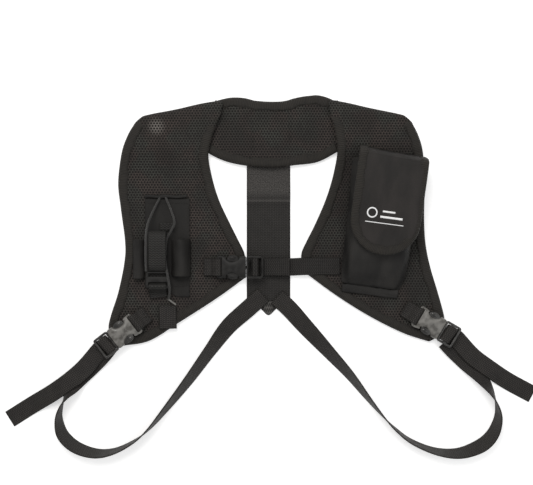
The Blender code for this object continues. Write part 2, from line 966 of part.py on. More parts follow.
def make_bungee(over, rubber):
    """The elastic cord: up one side of the webbing, through the hem and down again."""
    route = smooth_curve(
        [
            (-142.2, 6, over + 13.0),
            (-142.2, 26, over + 17.0),
            (-141.6, 47, over + 18.0),
            (-139.6, 61, over + 14.0),
            (-133.4, 77, over + 7.0),
            (-128.0, 90.0, over + 3.2),
            (-124.6, 94.6, over + 2.9),
            (-121.2, 90.0, over + 3.2),
            (-114.8, 73, over + 8.0),
            (-112.6, 57, over + 14.0),
            (-114.4, 47, over + 17.6),
            (-116.8, 28, over + 18.8),
            (-115.6, 6, over + 15.0),
            (-113.8, -9, over + 8.0),
            (-110.6, -22, over + 4.0),
            (-112.6, -32, over + 4.4),
        ]
    )
    curve = bpy.data.curves.new("holder_bungee", "CURVE")
    curve.dimensions = "3D"
    curve.bevel_depth = BUNGEE / 2 * MM
    curve.bevel_resolution = 2
    curve.use_fill_caps = True
    count = 48
    spline = curve.splines.new("POLY")
    spline.points.add(count - 1)
    for i, point in enumerate(spline.points):
        point.co = (*(Vector(route(i / (count - 1))) * MM), 1.0)
    cord = bpy.data.objects.new("holder_bungee", curve)
    own = rubber.copy()
    own.name = "holder_bungee_finish"
    curve.materials.append(own)
    HARNESS.objects.link(cord)
    end = frame_at((-113.0, -34.6), -100.0, over + 4.4)
    box("bungee_end", (-2.0, -1.9, -1.9), (6.0, 1.9, 1.9), end, rubber, 0.8)


# ---------------------------------------------------------------- the harness


def make_harness():
    mesh_finish = material("air_mesh", (0.035, 0.031, 0.028), 0.85)
    tape = material("binding_tape", (0.040, 0.036, 0.032), 0.7)
    webbing = material("webbing", (0.044, 0.039, 0.036), 0.6)
    nylon = material("pouch_nylon", (0.036, 0.031, 0.030), 0.75)
    plastic = material("buckle_plastic", (0.050, 0.047, 0.043), 0.35)
    hook = material("hook_and_loop", (0.020, 0.020, 0.020), 0.95)
    rubber = material("bungee_sleeve", (0.060, 0.056, 0.052), 0.6)
    mark = material("mark_print", (0.82, 0.82, 0.82), 0.6)
    make_yoke(mesh_finish, tape)
    make_shoulders(mesh_finish)
    make_back_strap(webbing)
    make_side_straps(webbing)
    for side in ("left", "right"):
        make_panel(side, mesh_finish, tape)
    for name in BUCKLES:
        make_buckle(name, plastic, webbing)
    make_tails(webbing)
    make_chest_strap(webbing)
    make_pouch(nylon, tape, hook)
    make_flap(nylon, tape, hook, mark)
    over_patch = make_holder(nylon, webbing, plastic)
    make_bungee(over_patch, rubber)


for old in list(bpy.data.objects):
    bpy.data.objects.remove(old)
HARNESS = bpy.data.collections.new("radio_chest_harness")
CUTTERS = bpy.data.collections.new("cutters")
bpy.context.scene.collection.children.link(HARNESS)
bpy.context.scene.collection.children.link(CUTTERS)
make_harness()
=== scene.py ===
"""Looks of the radio chest harness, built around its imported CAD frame.

Every soft piece is a mesh made from its own curves, and every finish is made from
nodes. Lengths are in millimetres until a mesh is made; +X is the viewer's right, +Y is
towards the collar and +Z is up off the surface that the harness lies on.
"""

import json
import math

import bmesh
import bpy
import numpy as np
from mathutils import Matrix, Vector

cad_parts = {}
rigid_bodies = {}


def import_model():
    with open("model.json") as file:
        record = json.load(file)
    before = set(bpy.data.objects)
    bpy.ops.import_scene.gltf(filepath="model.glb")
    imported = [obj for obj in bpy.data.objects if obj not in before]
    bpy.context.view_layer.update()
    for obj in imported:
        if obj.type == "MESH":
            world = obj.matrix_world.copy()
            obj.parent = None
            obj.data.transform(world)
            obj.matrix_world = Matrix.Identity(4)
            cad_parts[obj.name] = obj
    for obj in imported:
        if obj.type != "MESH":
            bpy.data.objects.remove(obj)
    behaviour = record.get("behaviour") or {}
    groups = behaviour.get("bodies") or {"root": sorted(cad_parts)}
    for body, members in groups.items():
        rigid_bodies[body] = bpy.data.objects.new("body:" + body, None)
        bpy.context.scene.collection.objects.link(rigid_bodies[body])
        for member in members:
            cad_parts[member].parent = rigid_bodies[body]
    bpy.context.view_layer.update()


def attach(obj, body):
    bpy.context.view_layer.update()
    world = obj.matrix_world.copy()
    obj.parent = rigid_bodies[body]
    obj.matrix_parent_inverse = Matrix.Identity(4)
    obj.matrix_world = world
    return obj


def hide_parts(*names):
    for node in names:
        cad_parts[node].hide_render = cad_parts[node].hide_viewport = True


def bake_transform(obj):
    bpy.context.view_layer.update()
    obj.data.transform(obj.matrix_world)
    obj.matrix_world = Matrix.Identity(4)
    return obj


MM = 0.001
UV = "weave"
UP = np.array([0.0, 0.0, 1.0])

# Camera and light
CAMERA_AT = (-0.0061, 0.0385, 1.2)
CAMERA_LENS = 70.5
FLOOR_HALF = 6000.0
FLOOR_GLOW = 0.42
SKY_STRENGTH = 0.5

# Webbing and padding
WEBBING = 20.0
WEBBING_THICK = 1.6
BACK_WEBBING = 50.0
PAD_HALF = 2.9
PANEL_HIGH = 9.6
TAPE = 10.5

# Stitching through a binding tape: in from the edge and up from the pad's middle
SEAM_INSET = 8.7
SEAM_HIGH = 3.95

# A painted glint: the one place where the mesh is painted bright, on the left shoulder
SHOULDER_GLINT = (-131.5, 170.5, 11.0)

# The shoulder fold, where the front bends off the back
FOLD_BACK = (0.0, 0.201, 0.003)
FOLD_FRONT = (0.0, 0.183, 0.0105)

# The back strap's middle line
STRAP_X = -3.8

# Buckle, along its own X from the webbing bar to the ladder-lock's end
FEMALE_LENGTH = 33.5
BUCKLE_LENGTH = 52.0
BUCKLE_HALF = 13.0
BUCKLE_LIFT = 12.2
BUCKLES = {
    "chest": ((-63.0, 10.4), 0.0),
    "left": ((-153.9, -51.8), 217.4),
    "right": ((164.0, -43.9), -30.4),
}

# Radio pouch and its flap, in the pouch's own frame
POUCH_SEAM = (136.0, 143.5)
POUCH_TILT = -7.5
FLAP_HALF = 39.5
FLAP_SHIFT = 1.6
FLAP_LENGTH = 119.5

for old in list(bpy.data.objects):
    bpy.data.objects.remove(old)
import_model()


# --- curves


def follow(run, points, at):
    """The point, or points, at a distance along a run of points."""
    return np.stack([np.interp(at, run, column) for column in points.T], axis=-1)


class Curve:
    """A smooth curve through knots; its first three columns are its place."""

    def __init__(self, knots, steps=12):
        points = np.array(knots, float)
        ends = np.vstack([2 * points[0] - points[1], points, 2 * points[-1] - points[-2]])
        dense = []
        for a, b, c, d in zip(ends, ends[1:], ends[2:], ends[3:]):
            for t in np.arange(steps) / steps:
                bend = (2 * a - 5 * b + 4 * c - d) * t**2 + (3 * b - a - 3 * c + d) * t**3
                dense.append(0.5 * (2 * b + (c - a) * t + bend))
        self.dense = np.array([*dense, points[-1]])
        self.run = run_length(self.dense[:, :3])
        self.length = self.run[-1]

    def __call__(self, share):
        return follow(self.run, self.dense, np.asarray(share, float) * self.length)

    def even(self, count):
        """Points at even steps from end to end."""
        return self(np.linspace(0, 1, count))


def smoothstep(low, high, value):
    t = np.clip((np.asarray(value, float) - low) / (high - low), 0.0, 1.0)
    return t * t * (3 - 2 * t)


def unit(vectors):
    vectors = np.asarray(vectors, float)
    return vectors / np.maximum(np.linalg.norm(vectors, axis=-1, keepdims=True), 1e-9)


def tangents(path):
    return unit(np.gradient(path, axis=0))


def run_length(path):
    steps = np.linalg.norm(np.diff(path, axis=0), axis=1)
    return np.concatenate([[0.0], np.cumsum(steps)])


def packed(*columns):
    """Points from their columns; a single number fills its column."""
    return np.stack(np.broadcast_arrays(*columns), axis=-1)


def lifted(flat, z):
    """Flat points at a height."""
    return packed(*np.moveaxis(flat, -1, 0), z)


def ripple(seed, *waves):
    """A soft uneven wave of distance, the same on every run."""

    def at(s):
        total = 0.0
        for i, (length, height) in enumerate(waves):
            total = total + height * np.sin(2 * np.pi * s / length + seed * (i + 1.7))
        return total

    return at


def frame_at(place, heading, lift):
    turn = Matrix.Rotation(math.radians(heading), 4, "Z")
    return np.array(Matrix.Translation((*place, lift)) @ turn)


def moved(points, matrix):
    points = np.asarray(points, float)
    return points @ matrix[:3, :3].T + matrix[:3, 3]


def turned(vector, matrix):
    return matrix[:3, :3] @ vector


# --- meshes


def add_object(name, data):
    made = bpy.data.objects.new(name, data)
    bpy.context.scene.collection.objects.link(made)
    return made


def add_mesh(name, verts, faces, finish, uvs=None, sharp=None):
    """uvs holds one pair for each corner of each face, in order."""
    mesh = bpy.data.meshes.new(name)
    mesh.from_pydata((np.asarray(verts, float) * MM).tolist(), [], faces)
    if uvs is not None:
        layer = mesh.uv_layers.new(name=UV)
        layer.data.foreach_set("uv", np.asarray(uvs, np.float32).ravel())
    mesh.polygons.foreach_set("use_smooth", [True] * len(mesh.polygons))
    if sharp is not None:
        mesh.set_sharp_from_angle(angle=math.radians(sharp))
    mesh.materials.append(finish)
    mesh.validate()
    return add_object(name, mesh)


def skin(name, rings, finish, uv, sharp=None):
    """A capped skin round rings[n, m]; uv[n, m + 1] in millimetres."""
    n, m = rings.shape[:2]
    faces, corners = [], []
    for i in range(n - 1):
        for j in range(m):
            k = (j + 1) % m
            faces.append((i * m + j, i * m + k, (i + 1) * m + k, (i + 1) * m + j))
            corners += [uv[i, j], uv[i, j + 1], uv[i + 1, j + 1], uv[i + 1, j]]
    for row, order in ((0, range(m - 1, -1, -1)), (n - 1, range(m))):
        faces.append(tuple(row * m + j for j in order))
        corners += [uv[row, j] for j in order]
    return add_mesh(name, rings.reshape(-1, 3), faces, finish, corners, sharp)


def shell(name, top, bottom, finish, uv):
    """A closed sheet between two like grids of points."""
    n, m = top.shape[:2]
    verts = np.concatenate([top.reshape(-1, 3), bottom.reshape(-1, 3)])
    flat = uv.reshape(-1, 2)
    under = n * m
    faces, corners = [], []

    def quad(a, b, c, d):
        faces.append((a, b, c, d))
        corners.extend(flat[i % under] for i in (a, b, c, d))

    for i in range(n - 1):
        for j in range(m - 1):
            a, b, c, d = i * m + j, i * m + j + 1, (i + 1) * m + j + 1, (i + 1) * m + j
            quad(a, b, c, d)
            quad(under + d, under + c, under + b, under + a)
    rim = [i * m for i in range(n)] + [(n - 1) * m + j for j in range(1, m)]
    rim += [i * m + m - 1 for i in range(n - 2, -1, -1)] + list(range(m - 2, 0, -1))
    for a, b in zip(rim, rim[1:] + rim[:1]):
        quad(a, b, under + b, under + a)
    return add_mesh(name, verts, faces, finish, corners)


def cloth(name, surface, cells, half, finish):
    """A sheet round surface(u, v), half(u, v) thick to each side."""
    u, v = np.meshgrid(np.linspace(0, 1, cells[0]), np.linspace(0, 1, cells[1]))
    points = surface(u, v)
    normal = unit(np.cross(np.gradient(points, axis=1), np.gradient(points, axis=0)))
    normal *= np.where(normal[..., 2:].mean() < 0, -1.0, 1.0)
    thick = (half(u, v) if callable(half) else np.full_like(u, half))[..., None]
    uv = packed(run_grid(points, 1), run_grid(points, 0))
    return shell(name, points + normal * thick, points - normal * thick, finish, uv)


def crowned(edge, gain, reach):
    """A half thickness for cloth: edge at its rim, gain more inside."""

    def half(u, v):
        inside = np.minimum(np.minimum(u, 1 - u), np.minimum(v, 1 - v))
        return edge + gain * np.sqrt(np.clip(inside * reach, 0, 1))

    return half


def run_grid(points, axis):
    """Distance along one axis of a grid of points, measured from its middle."""
    steps = np.linalg.norm(np.diff(points, axis=axis), axis=-1)
    zero = np.zeros_like(steps[:, :1] if axis else steps[:1])
    run = np.concatenate([zero, np.cumsum(steps, axis=axis)], axis=axis)
    middle = run[:, run.shape[1] // 2][:, None] if axis else run[run.shape[0] // 2][None]
    return run - middle


def strap_section(width, thick):
    """Webbing's cross-section: flat faces, woven edges that are a little thicker."""
    half, h = width / 2, thick / 2
    xs = np.array([-half + 0.7, -half + 1.6, -half / 2, 0, half / 2, half - 1.6, half - 0.7])
    hs = h * np.array([0.94, 1.0, 0.93, 0.9, 0.93, 1.0, 0.94])
    across = [*xs, half, *xs[::-1], -half]
    up = [*hs, 0.0, *(-hs[::-1]), 0.0]
    return np.array(across), np.array(up)


def strap(name, path, side, finish, width=WEBBING, thick=WEBBING_THICK, run_from=0.0):
    """Webbing along a path of points, its width along side (one vector, or many)."""
    side = np.broadcast_to(side, path.shape)
    ahead = tangents(path)
    side = unit(side - ahead * np.sum(side * ahead, axis=1, keepdims=True))
    normal = np.cross(ahead, side)
    across, up = strap_section(width, thick)
    rings = path[:, None] + side[:, None] * across[:, None] + normal[:, None] * up[:, None]
    run = run_length(path) + run_from
    u = np.append(across, across[0])
    return skin(name, rings, finish, packed(u, run[:, None]))


def tube(name, path, radii, finish, sides=12, squeeze=1.0):
    """A round cord or bar along a path; squeeze flattens it in Z."""
    path = np.asarray(path, float)
    ahead = tangents(path)
    side = np.cross(ahead, UP)
    weak = np.linalg.norm(side, axis=1) < 0.2
    side[weak] = np.cross(ahead[weak], [0.0, 1.0, 0.0])
    side = unit(side)
    for i in range(1, len(side)):
        if side[i] @ side[i - 1] < 0:
            side[i] *= -1
    normal = np.cross(side, ahead)
    angle = np.linspace(0, 2 * np.pi, sides, endpoint=False)
    radii = np.broadcast_to(radii, len(path))[:, None, None]
    circle = side[:, None] * np.cos(angle)[:, None]
    circle = circle + normal[:, None] * np.sin(angle)[:, None] * squeeze
    rings = path[:, None] + circle * radii
    around = np.linspace(0, 1, sides + 1) * 2 * np.pi * float(np.mean(radii))
    return skin(name, rings, finish, packed(around, run_length(path)[:, None]))


def tape_edge(name, path, normal, inward, finish, seed, width=TAPE, high=3.9, low=3.4):
    """Binding tape folded round an edge: path is the edge, inward points off it."""
    inset = [width, width * 0.97, width * 0.8, width * 0.45, 2.2, 0.6, 0.0]
    height = [high - 0.9, high - 0.25, high, high + 0.1, high - 0.2, high * 0.62, 0.0]
    inset += [0.6, 2.2, width * 0.5, width]
    height += [-low * 0.62, -low + 0.2, -low, -low + 0.5]
    run = run_length(path)
    pucker = ripple(seed, (19.0, 0.5), (7.3, 0.35), (47.0, 0.6))(run)
    swell = ripple(seed + 2, (11.0, 0.16), (5.1, 0.10), (33.0, 0.15))(run)
    inset, height = np.array(inset), np.array(height)
    outer = np.clip(1 - inset / width, 0, 1)
    depth = inset + pucker[:, None] * inset / width - 0.3 * swell[:, None] * outer
    rise = height * (1 + 0.25 * swell[:, None] * (inset > 1))
    rings = path[:, None] + inward[:, None] * depth[..., None] + normal[:, None] * rise[..., None]
    section = packed(inset, height)
    around = run_length(np.vstack([section, section[:1]]))
    return skin(name, rings, finish, packed(around, run[:, None]))


def tape_sides(path, turn=1.0):
    """Inward and up for tape_edge, round an edge that runs against the clock (turn 1)."""
    ahead = tangents(path)
    inward = unit(np.cross(UP, ahead) * turn)
    normal = unit(np.cross(ahead, inward) * turn)
    return inward, normal * np.sign(normal[:, 2:])


def moulded(name, outlines, low, high, bevel, matrix, finish):
    """A flat moulding with rounded edges: its outline first, then its holes."""
    curve = bpy.data.curves.new(name, "CURVE")
    curve.dimensions = "2D"
    curve.fill_mode = "BOTH"
    curve.extrude = (high - low) / 2 - bevel
    curve.bevel_depth = bevel
    curve.offset = -bevel
    curve.bevel_resolution = 2
    for outline in outlines:
        spline = curve.splines.new("POLY")
        spline.points.add(len(outline) - 1)
        for point, (x, y) in zip(spline.points, outline):
            point.co = (x, y, 0.0, 1.0)
        spline.use_cyclic_u = True
    guide = add_object(name + "_guide", curve)
    bpy.context.view_layer.update()
    seen = guide.evaluated_get(bpy.context.evaluated_depsgraph_get())
    mesh = bpy.data.meshes.new_from_object(seen)
    bpy.data.objects.remove(guide)
    verts = np.array([v.co for v in mesh.vertices], float)
    verts[:, 2] += (low + high) / 2
    faces = [tuple(p.vertices) for p in mesh.polygons]
    bpy.data.meshes.remove(mesh)
    piece = add_mesh(name, moved(verts, matrix), faces, finish)
    bm = bmesh.new()
    bm.from_mesh(piece.data)
    bmesh.ops.remove_doubles(bm, verts=bm.verts, dist=1e-6)
    bmesh.ops.recalc_face_normals(bm, faces=bm.faces)
    bm.to_mesh(piece.data)
    bm.free()
    piece.data.set_sharp_from_angle(angle=math.radians(32))
    return piece


def joined(name, pieces):
    """One piece from several with the same finish."""
    bm = bmesh.new()
    finish = pieces[0].data.materials[0]
    for piece in pieces:
        bm.from_mesh(piece.data)
        bpy.data.objects.remove(piece)
    mesh = bpy.data.meshes.new(name)
    bm.to_mesh(mesh)
    bm.free()
    mesh.materials.append(finish)
    return add_object(name, mesh)


def rounded_box(low, high, radius, steps=4):
    """A rectangle's outline with round corners, anticlockwise."""
    (x0, y0), (x1, y1) = low, high
    corners = [(x1 - radius, y1 - radius, 0), (x0 + radius, y1 - radius, 90)]
    corners += [(x0 + radius, y0 + radius, 180), (x1 - radius, y0 + radius, 270)]
    outline = []
    for x, y, start in corners:
        for step in range(steps + 1):
            angle = math.radians(start + 90 * step / steps)
            outline.append((x + radius * math.cos(angle), y + radius * math.sin(angle)))
    return outline


def dome(name, centre, radii, matrix, finish, rows=10, sides=20):
    theta = np.linspace(0.06, np.pi - 0.06, rows)[:, None]
    phi = np.linspace(0, 2 * np.pi, sides, endpoint=False)
    points = packed(np.cos(theta), np.sin(theta) * np.cos(phi), np.sin(theta) * np.sin(phi))
    rings = moved(points * np.array(radii) + np.array(centre), matrix)
    return skin(name, rings, finish, np.zeros((rows, sides + 1, 2)))


def stitches(name, runs, finish, pitch=3.6, long=2.5, radius=0.33):
    """Thread along lines of (points, normals), as separate rounded stitches."""
    rings, count, sides = [], 0, 6
    angle = np.linspace(0, 2 * np.pi, sides, endpoint=False)
    for path, normal in runs:
        path = np.asarray(path, float)
        normal = np.broadcast_to(normal, path.shape)
        run = run_length(path)
        number = max(int(run[-1] / pitch), 1)
        for k in range(number):
            middle = run[-1] * (k + 0.5) / number
            at, up = follow(run, path, middle), follow(run, normal, middle)
            ahead = unit(follow(run, path, middle + 1) - follow(run, path, middle - 1))
            side = unit(np.cross(up, ahead))
            up = np.cross(ahead, side)
            for share, size in ((-0.5, 0.25), (-0.36, 0.9), (0.36, 0.9), (0.5, 0.25)):
                sink = -0.5 * radius if abs(share) == 0.5 else 0.15 * radius
                centre = at + ahead * share * long + up * sink
                circle = side[None] * np.cos(angle)[:, None] + up[None] * np.sin(angle)[:, None]
                rings.append(centre + circle * radius * size)
            count += 1
    verts = np.concatenate(rings)
    faces = []
    for k in range(count):
        base = k * 4 * sides
        faces.append(tuple(base + j for j in range(sides - 1, -1, -1)))
        faces.append(tuple(base + 3 * sides + j for j in range(sides)))
        for i in range(3):
            for j in range(sides):
                a, b = base + i * sides + j, base + i * sides + (j + 1) % sides
                faces.append((a, b, b + sides, a + sides))
    return add_mesh(name, verts, faces, finish)


# --- finishes


class Finish:
    """A material and short ways to add nodes to it."""

    def __init__(self, name, rough, specular=0.3, sheen=0.0, colour=0.03):
        self.material = bpy.data.materials.new(name)
        self.material.use_nodes = True
        self.tree = self.material.node_tree
        self.shader = self.tree.nodes["Principled BSDF"]
        values = {"Base Color": (colour, colour, colour, 1.0), "Roughness": rough,
                  "Specular IOR Level": specular, "Sheen Weight": sheen, "Sheen Roughness": 0.5}
        for socket, value in values.items():
            self.shader.inputs[socket].default_value = value

    def node(self, kind, values, out=0, **settings):
        made = self.tree.nodes.new("ShaderNode" + kind)
        for setting, value in settings.items():
            setattr(made, setting, value)
        for socket, value in values.items():
            if isinstance(value, bpy.types.NodeSocket):
                self.tree.links.new(value, made.inputs[socket])
            else:
                made.inputs[socket].default_value = value
        return made.outputs[out]

    def math(self, operation, a, b=0.0):
        return self.node("Math", {0: a, 1: b}, operation=operation)

    def plus(self, a, b):
        return self.math("ADD", a, b)

    def times(self, a, b):
        return self.math("MULTIPLY", a, b)

    def wave(self, source, length):
        """The cosine of a distance in millimetres, one turn for each length."""
        return self.math("COSINE", self.times(source, 2 * math.pi / length))

    def scaled(self, place, scale):
        return self.node("VectorMath", {0: place, 1: scale}, operation="MULTIPLY")

    def uv(self):
        """The weave's coordinates, across and along, in millimetres."""
        place = self.node("UVMap", {}, uv_map=UV)
        parts = self.node("SeparateXYZ", {0: place})
        return place, parts, parts.node.outputs[1]

    def plan(self):
        """The same from above: the piece's own X and Y, in millimetres."""
        place = self.scaled(self.node("TexCoord", {}, out=3), (1e3, 1e3, 1e3))
        parts = self.node("SeparateXYZ", {0: place})
        return place, parts, parts.node.outputs[1]

    def noise(self, place, scale, detail=3.0, rough=0.5):
        values = {"Vector": place, "Scale": scale, "Detail": detail, "Roughness": rough}
        return self.node("TexNoise", values)

    def ramp(self, value, low, high, to_low=0.0, to_high=1.0):
        values = {0: value, 1: low, 2: high, 3: to_low, 4: to_high}
        return self.node("MapRange", values, interpolation_type="SMOOTHSTEP")

    def blend(self, share, first, second):
        made = self.tree.nodes.new("ShaderNodeMix")
        made.data_type = "RGBA"
        for socket, value in ((0, share), (6, first), (7, second)):
            if isinstance(value, bpy.types.NodeSocket):
                self.tree.links.new(value, made.inputs[socket])
            elif socket:
                made.inputs[socket].default_value = (*value, 1.0)
            else:
                made.inputs[socket].default_value = value
        return made.outputs[2]

    def set(self, socket, value):
        self.tree.links.new(value, self.shader.inputs[socket])

    def done(self, colour, height, distance, strength=1.0):
        """The finished material, raised by its height times a distance in millimetres."""
        self.set("Base Color", colour)
        values = {"Strength": strength, "Distance": distance * MM, "Height": height}
        self.set("Normal", self.node("Bump", values))
        return self.material


def webbing_finish(name, dark, light, rib=2.2, cord=0.6, painted_sheen=None):
    """Woven polyester webbing: weft ribs over pairs of warp cords.

    The last argument says where along it a painted sheen sets in and ends, and its strength.
    """
    made = Finish(name, 0.55, 0.22)
    place, across, along = made.uv()
    sway = made.times(made.wave(across, 4.0), 1.5)
    ribs = made.math("COSINE", made.plus(made.times(along, 2 * math.pi / rib), sway))
    cords = made.times(made.wave(across, 2.0), cord)
    height = made.ramp(made.plus(ribs, cords), -1.3, 1.3)
    worn = made.noise(place, 0.09, 4.0)
    share = made.times(height, made.ramp(worn, 0.25, 0.75, 0.5, 1.0))
    # painted sheen: the strap painted lighter past where the sheen sets in, with a painted
    # highlight line at that start
    if painted_sheen:
        low, high, gain = painted_sheen
        fuzz = made.ramp(made.noise(place, 0.75, 3.0), 0.35, 0.65, 0.2, 1.0)
        sheen = made.times(made.ramp(along, low, high, 0.0, gain), fuzz)
        line = made.times(made.ramp(along, low - 1.0, low + 1.5),
                          made.ramp(along, low + 1.5, low + 4.0, 1.0, 0.0))
        share = made.plus(made.plus(made.times(share, 0.4), sheen), made.times(line, 0.45))
    made.set("Roughness", made.ramp(worn, 0.3, 0.7, 0.49, 0.65))
    return made.done(made.blend(share, dark, light), height, 0.45)


def air_mesh_finish(name, dark, light, pitch, glint_at):
    """Warp-knit spacer mesh: a honeycomb of threads round open holes, with a painted glint at one
    place.
    """
    made = Finish(name, 0.8, 0.15)
    place, across, along = made.plan()
    total = made.wave(along, pitch)
    for sign in (1.0, -1.0):
        slant = made.times(across, sign * math.sqrt(3) / 2)
        total = made.plus(total, made.wave(made.plus(slant, made.times(along, 0.5)), pitch))
    hole = made.ramp(total, -0.6, 1.1)
    threads = made.noise(place, 0.62, 2.0)
    worn = made.noise(place, 0.03, 3.0)
    lit = made.times(made.ramp(threads, 0.3, 0.72, 0.25, 1.0),
                     made.ramp(worn, 0.32, 0.68, 0.35, 1.0))
    # painted glint: a bright patch painted on the threads round glint_at, fading out by 13 mm
    apart = made.node("VectorMath", {0: place, 1: glint_at}, out=1, operation="DISTANCE")
    glint = made.times(made.ramp(apart, 1.0, 13.0, 0.85, 0.0),
                       made.ramp(total, -0.9, 0.6, 1.0, 0.0))
    warm = tuple(c * k for c, k in zip(light, (1.12, 0.96, 0.93)))
    cool = tuple(c * k for c, k in zip(light, (0.90, 1.0, 0.96)))
    tint = made.ramp(made.noise(place, 0.045, 2.0), 0.4, 0.6)
    thread = made.blend(lit, dark, made.blend(tint, cool, warm))
    woven = made.blend(hole, thread, tuple(0.6 * c for c in dark))
    made.set("Roughness", made.ramp(hole, 0.0, 1.0, 0.7, 0.95))
    depth = made.math("SUBTRACT", made.times(threads, 0.25), hole)
    return made.done(made.blend(glint, woven, tuple(2.9 * c for c in light)), depth, 0.5)


def tape_finish(name, dark, light, rib=1.9):
    """Grosgrain binding tape: fine ribs across it, and folds where it is eased."""
    made = Finish(name, 0.62, 0.2)
    place, across, along = made.uv()
    fine = made.times(made.wave(across, 0.9), 0.3)
    height = made.ramp(made.plus(made.wave(along, rib), fine), -1.2, 1.2)
    folds = made.noise(made.scaled(place, (0.25, 1.0, 1.0)), 0.16, 2.0)
    share = made.times(made.ramp(height, 0.0, 1.0, 0.35, 1.0),
                       made.ramp(folds, 0.3, 0.7, 0.6, 1.0))
    made.set("Roughness", made.ramp(folds, 0.3, 0.7, 0.55, 0.75))
    both = made.plus(height, made.times(folds, 3.0))
    return made.done(made.blend(share, dark, light), both, 0.35)


def nylon_finish(name, dark, light):
    """Plain-weave pack cloth with slow creases."""
    made = Finish(name, 0.6, 0.22)
    place, across, along = made.uv()
    weave = made.times(made.wave(across, 1.1), made.wave(along, 1.1))
    creases = made.noise(made.scaled(place, (1.0, 0.45, 1.0)), 0.05, 3.0, 0.45)
    specks = made.noise(place, 0.8, 2.0)
    share = made.times(made.ramp(creases, 0.3, 0.72), made.ramp(specks, 0.3, 0.7, 0.7, 1.0))
    made.set("Roughness", made.ramp(creases, 0.3, 0.7, 0.55, 0.72))
    height = made.plus(made.times(weave, 0.06), creases)
    return made.done(made.blend(share, dark, light), height, 1.6, 0.8)


def plastic_finish(name, dark, light, rough, shine=0.5):
    """Moulded acetal with a fine spark-eroded grain and rubbed places."""
    made = Finish(name, rough, shine)
    place = made.node("TexCoord", {}, out=3)
    rubbed = made.noise(place, 130.0, 3.0)
    made.set("Roughness", made.ramp(rubbed, 0.3, 0.7, rough - 0.08, rough + 0.12))
    colour = made.blend(made.ramp(rubbed, 0.35, 0.65), dark, light)
    return made.done(colour, made.noise(place, 2600.0, 2.0), 0.05, 0.5)


def fuzz_finish(name, dark, light):
    """Hook and loop: short stiff tufts."""
    made = Finish(name, 0.9, 0.2, sheen=0.3)
    tufts = made.node("TexVoronoi", {"Vector": made.uv()[0], "Scale": 1.3})
    colour = made.blend(made.ramp(tufts, 0.1, 0.8), light, dark)
    return made.done(colour, made.math("SUBTRACT", 1.0, tufts), 0.7)


def braid_finish(name, dark, light):
    """The bungee's braided sleeve: two crossing sets of yarns."""
    made = Finish(name, 0.5, 0.4, sheen=0.2)
    around, along = made.uv()[1:]
    first = made.wave(made.plus(around, along), 1.36)
    second = made.wave(made.math("SUBTRACT", around, along), 1.36)
    height = made.ramp(made.math("MAXIMUM", first, second), -0.2, 1.0)
    return made.done(made.blend(height, dark, light), height, 0.25)


def print_finish(name):
    """White screen print over the weave, a little worn."""
    made = Finish(name, 0.6, 0.3)
    worn = made.noise(made.node("TexCoord", {}, out=3), 420.0, 4.0)
    colour = made.blend(made.ramp(worn, 0.3, 0.45), (0.5, 0.5, 0.5), (0.9, 0.9, 0.9))
    return made.done(colour, worn, 0.1, 0.4)


MESH = air_mesh_finish("air_mesh", (0.0235, 0.0215, 0.0200), (0.057, 0.0525, 0.048), pitch=2.9,
                       glint_at=SHOULDER_GLINT)
BINDING = tape_finish("binding_tape", (0.013, 0.0118, 0.0105), (0.036, 0.0325, 0.028))
STRAP = webbing_finish("webbing", (0.010, 0.0092, 0.0085), (0.052, 0.047, 0.043))
# The back strap: a painted sheen on its upper part, towards the collar
STRAP_BACK = webbing_finish("webbing_back", (0.014, 0.013, 0.012), (0.088, 0.082, 0.077), rib=1.9,
                            painted_sheen=(85, 99, 0.62))
# The back strap's folded point: a painted highlight, much lighter than the webbing
STRAP_TIP_HIGHLIGHT = webbing_finish("webbing_tip_highlight", (0.014, 0.013, 0.012), (0.125, 0.118, 0.110), rib=6.0)
STRAP_CHEST = webbing_finish("webbing_chest", (0.008, 0.0073, 0.0068), (0.036, 0.0325, 0.030),
                             rib=2.4, cord=0.3)
STRAP_RIB = webbing_finish("webbing_ribbed", (0.010, 0.0096, 0.0090), (0.036, 0.0345, 0.032),
                           rib=2.7, cord=0.08)
NYLON = nylon_finish("pouch_nylon", (0.011, 0.0105, 0.0100), (0.030, 0.0283, 0.0265))
NYLON_FLAP = nylon_finish("flap_nylon", (0.0155, 0.0140, 0.0130), (0.034, 0.0300, 0.0282))
NYLON_HOLDER = nylon_finish("holder_nylon", (0.0105, 0.0098, 0.0092), (0.0235, 0.0222, 0.0205))
PLASTIC = plastic_finish("buckle_plastic", (0.072, 0.068, 0.061), (0.180, 0.173, 0.160), 0.30)
PLASTIC_LOCK = plastic_finish("lock_plastic", (0.018, 0.017, 0.016), (0.045, 0.043, 0.040), 0.26)
PLASTIC_DARK = plastic_finish("dark_plastic", (0.010, 0.0095, 0.009), (0.021, 0.020, 0.019), 0.5,
                              0.22)
HOOK = fuzz_finish("hook_and_loop", (0.006, 0.006, 0.006), (0.022, 0.021, 0.020))
BRAID = braid_finish("bungee_sleeve", (0.012, 0.0115, 0.0108), (0.037, 0.0352, 0.0325))
THREAD = tape_finish("thread", (0.012, 0.0115, 0.011), (0.034, 0.032, 0.030), rib=0.6)
WHITE = print_finish("mark_print")


# --- placing


def place(piece, body, slot, *nodes):
    """The piece rides on a body and stands for CAD nodes; slot is not used.

    Nothing reaches below the surface that the harness lies on.
    """
    for vertex in piece.data.vertices:
        vertex.co.z = max(vertex.co.z, 0.0)
    if isinstance(body, tuple):
        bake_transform(piece)
    else:
        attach(piece, body)
    if nodes:
        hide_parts(*nodes)


def sew(name, body, lines, *sizes):
    """Stitching that rides on a body; no CAD node stands behind it."""
    place(stitches(name, lines, THREAD, *sizes), body, None)


FRONT_FOLD = ("back", "front", FOLD_BACK, FOLD_FRONT)


# --- panels

